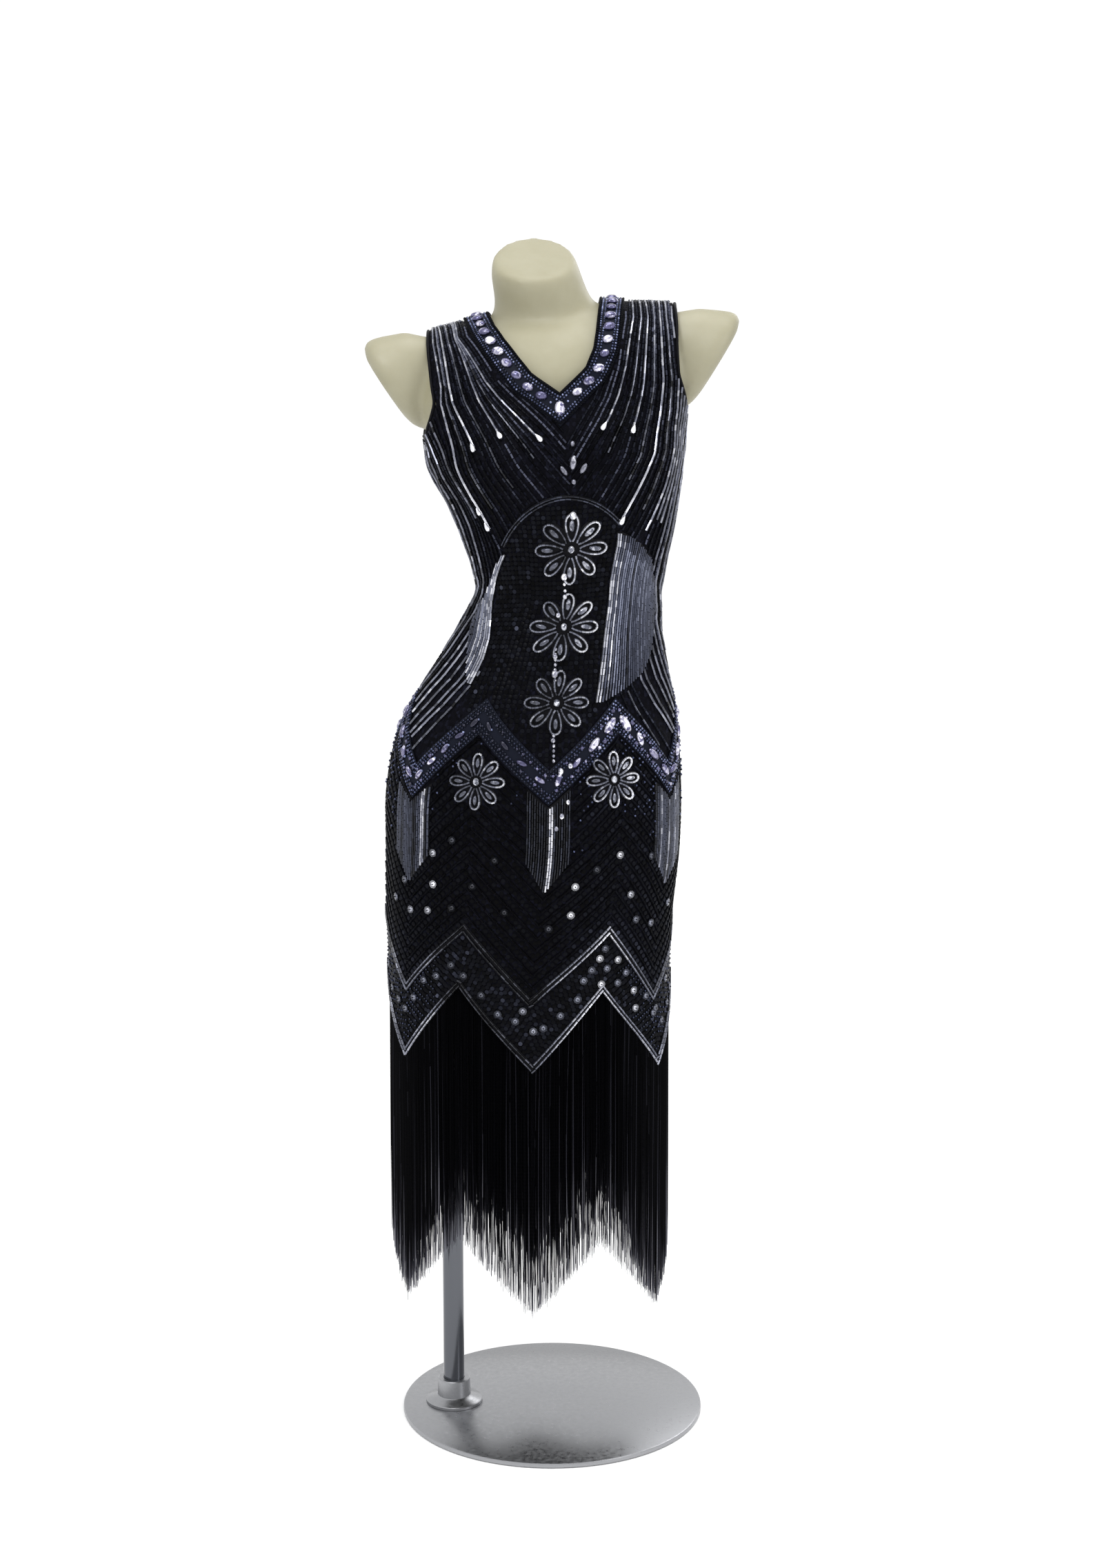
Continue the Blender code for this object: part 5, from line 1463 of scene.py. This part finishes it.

# Loose jewels: the stems between the flowers, the motif under the V, and round sequins on the skirt.
# Each row is kind, angle, height, size, turn, painted brightness and lift; the back has those that are low
# down
looseLook = {
    "backBelow": 830, "stemPitch": 5.2, "stemLift": 2.4, "stemSize": 0.55,
    "sequinLift": 3.1, "heartLift": 4.0, "heartSize": 0.6, "backShare": 0.7,
    "hemBelow": 620, "hemGap": 5, "hemDrop": 12,
}
looseStones = (
    ("smallStone", 0.5, 1090, 1.2, 0, 1.0, 3.6), ("smallStone", -3.0, 1021, 1.1, 0, 1.0, 3.6),
    ("smallStone", -2.4, 998, 0.8, 0, 0.8, 2.2), ("smallStone", -4.6, 977, 0.8, 0, 0.8, 3.6),
    ("smallStone", -2.0, 931, 0.8, 0, 0.8, 3.6), ("smallStone", -0.8, 912, 1.1, 0, 1.0, 3.6),
    ("smallStone", 1.2, 838, 0.8, 0, 0.5, 2.2), ("petalStone", 2.5, 1148, 1.1, 10, 0.45, 2.2),
    ("petalStone", -2.0, 1140, 0.85, -30, 0.25, 2.2), ("petalStone", 7.0, 1141, 0.9, 34, 0.35, 2.2),
    ("smallStone", 2.5, 1168, 0.8, 0, 0.3, 2.2), ("smallStone", 2.0, 1127, 0.8, 0, 0.35, 2.2),
    ("smallStone", 5.0, 752, 0.9, 0, 0.8, 2.2), ("smallStone", 4.4, 803, 0.95, 0, 0.85, 3.6),
    ("smallStone", 8.2, 809, 0.85, 0, 0.75, 3.6), ("smallStone", 7.4, 768, 0.75, 0, 0.8, 2.6),
    ("smallStone", 3.0, 738, 0.8, 0, 0.5, 2.2),
)
# stems of small stones between the flowers: angle and height of both ends
stems = ((-3.0, 1016, -2.3, 1001), (-2.6, 942, 0.0, 902), (1.4, 846, 1.6, 812))
# round sequins: angle, height and painted brightness, their painted glints
roundSequins = (
    (-47, 702, 0.7), (-46, 665, 1.0), (-58, 630, 0.6), (-48, 633, 0.7), (-63, 664, 0.3), (-70, 640, 0.35),
    (12, 671, 1.0), (12, 638, 0.95), (4, 622, 0.12), (30, 705, 0.85), (38, 658, 0.7), (53, 621, 0.5),
    (43, 628, 0.35), (29, 617, 0.3), (66, 640, 0.4), (72, 610, 0.35), (61, 603, 0.3), (-36, 640, 0.05),
    (-28, 668, 0.05), (-14, 640, 0.04), (-20, 700, 0.04), (20, 690, 0.1), (-38, 720, 0.1), (47, 700, 0.2),
    (27, 586, 0.9), (36, 583, 0.85), (31, 574, 0.5), (29, 556, 0.9), (21, 561, 0.5), (37, 556, 0.45),
    (46, 545, 0.8), (47, 524, 0.75), (19, 539, 0.5), (54, 536, 0.45), (59, 514, 0.4), (66, 502, 0.3),
    (12, 520, 0.45), (24, 573, 0.4), (41, 567, 0.5), (5, 505, 0.4), (-3, 533, 0.55), (1, 501, 0.55),
    (-6, 512, 0.4), (-13, 519, 0.35), (-20, 540, 0.2), (-28, 561, 0.2), (-34, 572, 0.2), (-41, 556, 0.35),
    (-48, 548, 0.4), (-54, 524, 0.45), (-60, 508, 0.35), (-66, 516, 0.3), (-74, 526, 0.3), (74, 520, 0.3),
    (80, 536, 0.3), (-82, 552, 0.3),
)


def looseJewels(face, end):
    look, stones, discs, hearts = looseLook, Beadwork(), Beadwork(), Beadwork()
    for kind, a, h, size, turn, shine, lift in looseStones:
        if face > 0 or h <= look["backBelow"]:
            stones.sew(kind, spotPlaces(face, [a], [h], lift, turn), shine, size)
    for a0, h0, a1, h1 in stems if face > 0 else ():
        places = threadPlaces(face, (a0, a1), (h0, h1), look["stemPitch"], look["stemLift"])
        stones.sew("smallStone", places, draw.uniform(0.3, 0.9, len(places["h"])), look["stemSize"])
    a, h, shine = np.array(roundSequins, float).T
    a = a * face
    # those of the hem stay below the chevron trim
    trim = chevron(chevronTrims[1][0], panelAngle(face, a))
    h = np.where((h < look["hemBelow"]) & (h > trim - look["hemGap"]), trim - look["hemDrop"], h)
    share = 1 if face > 0 else look["backShare"]
    discs.sew("sequin", spotPlaces(face, a, h, look["sequinLift"]), shine * share)
    hearts.sew("seed", spotPlaces(face, a, h, look["heartLift"]), 0.3, look["heartSize"])
    stones.finish("loose_stones_" + end, "crystal", "jewel_band", faceted=True)
    discs.finish("round_sequins_" + end, "silver", "bead_line", faceted=True)
    hearts.finish("sequin_hearts_" + end, "black", "bead_line")


# The skirt, its hem and the column under the arch: close rows of black sequins and bugles, with navy seed
# beads among them. The tables of angle and value give the rows' painted light, darkest at the front middle and
# lighter towards the sides, and how many seeds they have, more where the skirt is painted lighter
skirtRows = {
    "from": 544, "apart": 7.4, "pitch": 6.4, "lift": 1.3, "tilt": 0.06, "fewest": 3,
    "tone": ((-90, 0.6), (-60, 0.5), (-42, 0.15), (0, 0.05), (12, 0.3), (38, 0.5), (90, 0.6)),
    "glow": (
        (-90, 0.3), (-70, 0.5), (-55, 0.35), (-44, 0.12), (0, 0.05), (8, 0.3), (24, 0.6), (44, 0.6),
        (60, 0.4), (90, 0.4),
    ),
    "glowFrom": 670, "glowRise": 90, "glowLift": 1.6,
}
hemRows = {
    "from": 466, "to": 527, "apart": 6.2, "pitch": 6.0, "seedLift": 1.6, "seedLight": 0.65,
    "navy": (
        (-90, 0.3), (-74, 0.5), (-60, 0.75), (-44, 0.45), (-34, 0.0), (36, 0.0), (46, 0.5), (60, 0.75),
        (90, 0.4),
    ),
}
columnRows = {"from": -50.6, "to": 27, "apart": 2.6, "top": 1112, "foot": 800, "pitch": 5.4, "tilt": 0.08}


def onSkirt(face, a, h):
    return isFree(face, a, h) & (h < chevron(girdle["low"], panelAngle(face, a)))


def inColumn(face, a, h):
    return underArch(a, h, -3) & isFree(face, a, h) & overGirdle(face, a, h, 3)


def skirtBeads(face, end):
    beads, navy = Beadwork(), Beadwork()
    lift, tilt = skirtRows["lift"], skirtRows["tilt"]
    for k, low in enumerate(np.arange(skirtRows["from"], girdle["low"], skirtRows["apart"])):
        places = zigzagPlaces(face, low, skirtRows["pitch"], lift, onSkirt, tilt)
        n = len(places["h"])
        if n < skirtRows["fewest"]:
            continue
        shine = (0.2 + draw.beta(1, 1.5)) * tableAt(skirtRows["tone"], face, places) + draw.normal(0, 0.1, n)
        beads.sew("bugle" if k % 2 else "smallSequin", places, shine)
        high = np.clip((low - skirtRows["glowFrom"]) / skirtRows["glowRise"], 0, 1)
        kept = some(places, draw.random(n) < tableAt(skirtRows["glow"], face, places) * high)
        kept["point"] = kept["point"] + kept["out"] * skirtRows["glowLift"]
        navy.sew("seed", kept, 0.1 + 0.5 * draw.random(len(kept["h"])))
    for low in np.arange(hemRows["from"], hemRows["to"], hemRows["apart"]):
        places = zigzagPlaces(face, low, hemRows["pitch"], lift, isFree, tilt)
        beads.sew("smallSequin", places, draw.beta(1, 3, len(places["h"])))
        half = hemRows["apart"] / 2
        between = zigzagPlaces(face, low, hemRows["pitch"], hemRows["seedLift"], isFree, tilt, up=half)
        lit = tableAt(hemRows["navy"], face, between)
        kept = draw.random(len(lit)) < lit
        shine = hemRows["seedLight"] * lit[kept] * draw.beta(1.5, 1.8, kept.sum())
        navy.sew("seed", some(between, kept), shine, 0.9)
    h = np.arange(columnRows["top"], columnRows["foot"], -8.0)
    for a in np.arange(columnRows["from"], columnRows["to"], columnRows["apart"]):
        line = np.full(len(h), a)
        places = threadPlaces(face, line, h, columnRows["pitch"], lift, inColumn, columnRows["tilt"])
        if len(places["h"]) >= skirtRows["fewest"]:
            beads.sew("smallSequin", places, draw.beta(1, 4, len(places["h"])))
    beads.finish("black_sequins_" + end, "black", "beaded_net")
    navy.finish("navy_seeds_" + end, "navyGlass", "beaded_net")


for face, end in endOf.items():
    looseJewels(face, end)
    skirtBeads(face, end)

# The fringe: four close rows of cord under the chevron hem, even at the top and straying at the tips.
# Each row is its lift and the share of the length that it has; thin says by angle how far that counts
fringe = {
    "long": 292.0, "longerAtPeaks": 9.0, "uneven": 3.0, "strands": 620, "joints": 7, "radius": 0.6, "tip": 0.4,
    "rows": ((-0.3, 1.0), (-1.5, 0.985), (-2.7, 0.9), (-3.9, 0.77)), "edge": 89.6, "wander": 0.12,
    "thin": ((-90, 0.6), (-56, 0.6), (-42, 1.0), (36, 1.0), (50, 0.35), (90, 0.35)),
    "clumps": 84, "clump": 0.6, "pull": 2.9, "stray": 0.9, "bend": 1.1, "deep": 0.8, "below": 0.6,
    "glints": 0.05, "glint": 0.85, "topShine": 0.75, "tipShine": 0.75,
}


def fringePieces(face, end):
    bm = bmesh.new()
    bmesh.ops.create_cone(bm, cap_ends=True, segments=3, radius1=1.0, radius2=1.0, depth=1.0)
    bmesh.ops.translate(bm, verts=bm.verts, vec=(0, 0, -0.5))
    upright = [e for e in bm.edges if abs(e.verts[0].co.z - e.verts[1].co.z) > 0.5]
    bmesh.ops.subdivide_edges(bm, edges=upright, cuts=fringe["joints"] - 1, use_grid_fill=False)
    verts, tris = beadShape(bm)
    x, y, down = verts[:, 0], verts[:, 1], -verts[:, 2]
    n, most = fringe["strands"], fringe["edge"]
    cords = Beadwork()
    for lift, share in fringe["rows"]:
        a = np.clip(np.linspace(-most, most, n) + draw.normal(0, fringe["wander"], n), -most, most)
        angle = panelAngle(face, a)
        hem = chevron(float(chevronLow[0]), angle)
        side = onPanel(face, a + 0.5, hem, lift) - onPanel(face, a - 0.5, hem, lift)
        side, out = (unit(vectors * (1, 1, 0)) for vectors in (side, dressNormal(angle, hem)))
        middles = np.sort(draw.uniform(-90, 90, fringe["clumps"]))
        nearest = middles[np.argmin(np.abs(a[:, None] - middles[None]), axis=1)]
        pull = np.clip((nearest - a) * fringe["pull"], -fringe["clump"], fringe["clump"])
        sway = (pull + draw.normal(0, fringe["stray"], n))[:, None]
        bend = draw.normal(0, fringe["bend"], n)[:, None]
        share = 1 - (1 - share) * np.interp(angle, *zip(*fringe["thin"]))
        long = fringe["long"] * share + fringe["longerAtPeaks"] * peakShare(angle)
        long = (long + draw.normal(0, fringe["uneven"], n))[:, None]
        radius = fringe["radius"] * (1 - (1 - fringe["tip"]) * down**2) * draw.uniform(0.85, 1.15, n)[:, None]
        across = sway * down**1.6 + bend * np.sin(np.pi * down) + x * radius
        depth = draw.normal(0, fringe["deep"], n)[:, None] * down + y * radius
        points = onPanel(face, a, hem, lift)[:, None] + side[:, None] * across[..., None]
        points = points + out[:, None] * depth[..., None]
        points[..., 2] -= down * long + fringe["below"]
        # painted light: a few strands carry a painted glint, and the cords are painted darker at the top and
        # lighter at the tips
        shine = np.where(draw.random(n) < fringe["glints"], fringe["glint"], draw.beta(1.2, 3.4, n))[:, None]
        shine = shine * (fringe["topShine"] + (1 - fringe["topShine"]) * down)
        cords.add(points, tris, shine + fringe["tipShine"] * down**5)
    cords.finish("fringe_cords_" + end, "cord", "fringe", "fringe_" + end)


for face, end in endOf.items():
    fringePieces(face, end)
print("fringe")

# Floor, light and camera, in metres
studio = {
    "white": "fefefe", "worldStrength": 1.05, "middle": (0, 0, 0.85),
    "lamps": (
        ("key", (-1.0, -2.2, 2.9), (1.0, 1.2), 28), ("top", (0.2, -0.3, 3.2), (1.6, 1.6), 27),
        ("fill", (2.2, -1.8, 1.6), (0.8, 1.6), 12), ("rim", (1.4, 2.2, 2.2), (0.9, 1.4), 10),
    ),
    "lens": 64.47, "eye": (0.0094, -3.2, 1.40), "down": 11.17,
}


def emptyStage():
    bm = bmesh.new()
    bmesh.ops.create_grid(bm, x_segments=1, y_segments=1, size=8)
    floor = addObject("floor", toMesh(bm, "floor"))
    floor.location.z = -0.0005
    matt = {"Roughness": 0.85, "Specular_IOR_Level": 0.1}
    newMaterial("floor", "white studio floor", Base_Color=srgb(studio["white"]), **matt)
    floor.data.materials.append(finishes["floor"])


def lights():
    world = bpy.context.scene.world = bpy.data.worlds.new("studio")
    world.use_nodes = True
    background = world.node_tree.nodes["Background"].inputs
    background["Color"].default_value = (1, 1, 1, 1)
    background["Strength"].default_value = studio["worldStrength"]
    for name, place, size, power in studio["lamps"]:
        light = bpy.data.lights.new(name, "AREA")
        light.shape = "RECTANGLE"
        light.size, light.size_y = size
        light.energy = power
        lamp = addObject(name, light)
        lamp.location = place
        lamp.rotation_euler = (Vector(studio["middle"]) - Vector(place)).to_track_quat("-Z", "Y").to_euler()


def camera():
    data = bpy.data.cameras.new("camera")
    data.lens = studio["lens"]
    data.sensor_width = 36
    eye = bpy.context.scene.camera = addObject("camera", data)
    eye.location = studio["eye"]
    eye.rotation_euler = (math.radians(90 - studio["down"]), 0, 0)


emptyStage()
lights()
camera()
bpy.context.scene.view_settings.view_transform = "Standard"
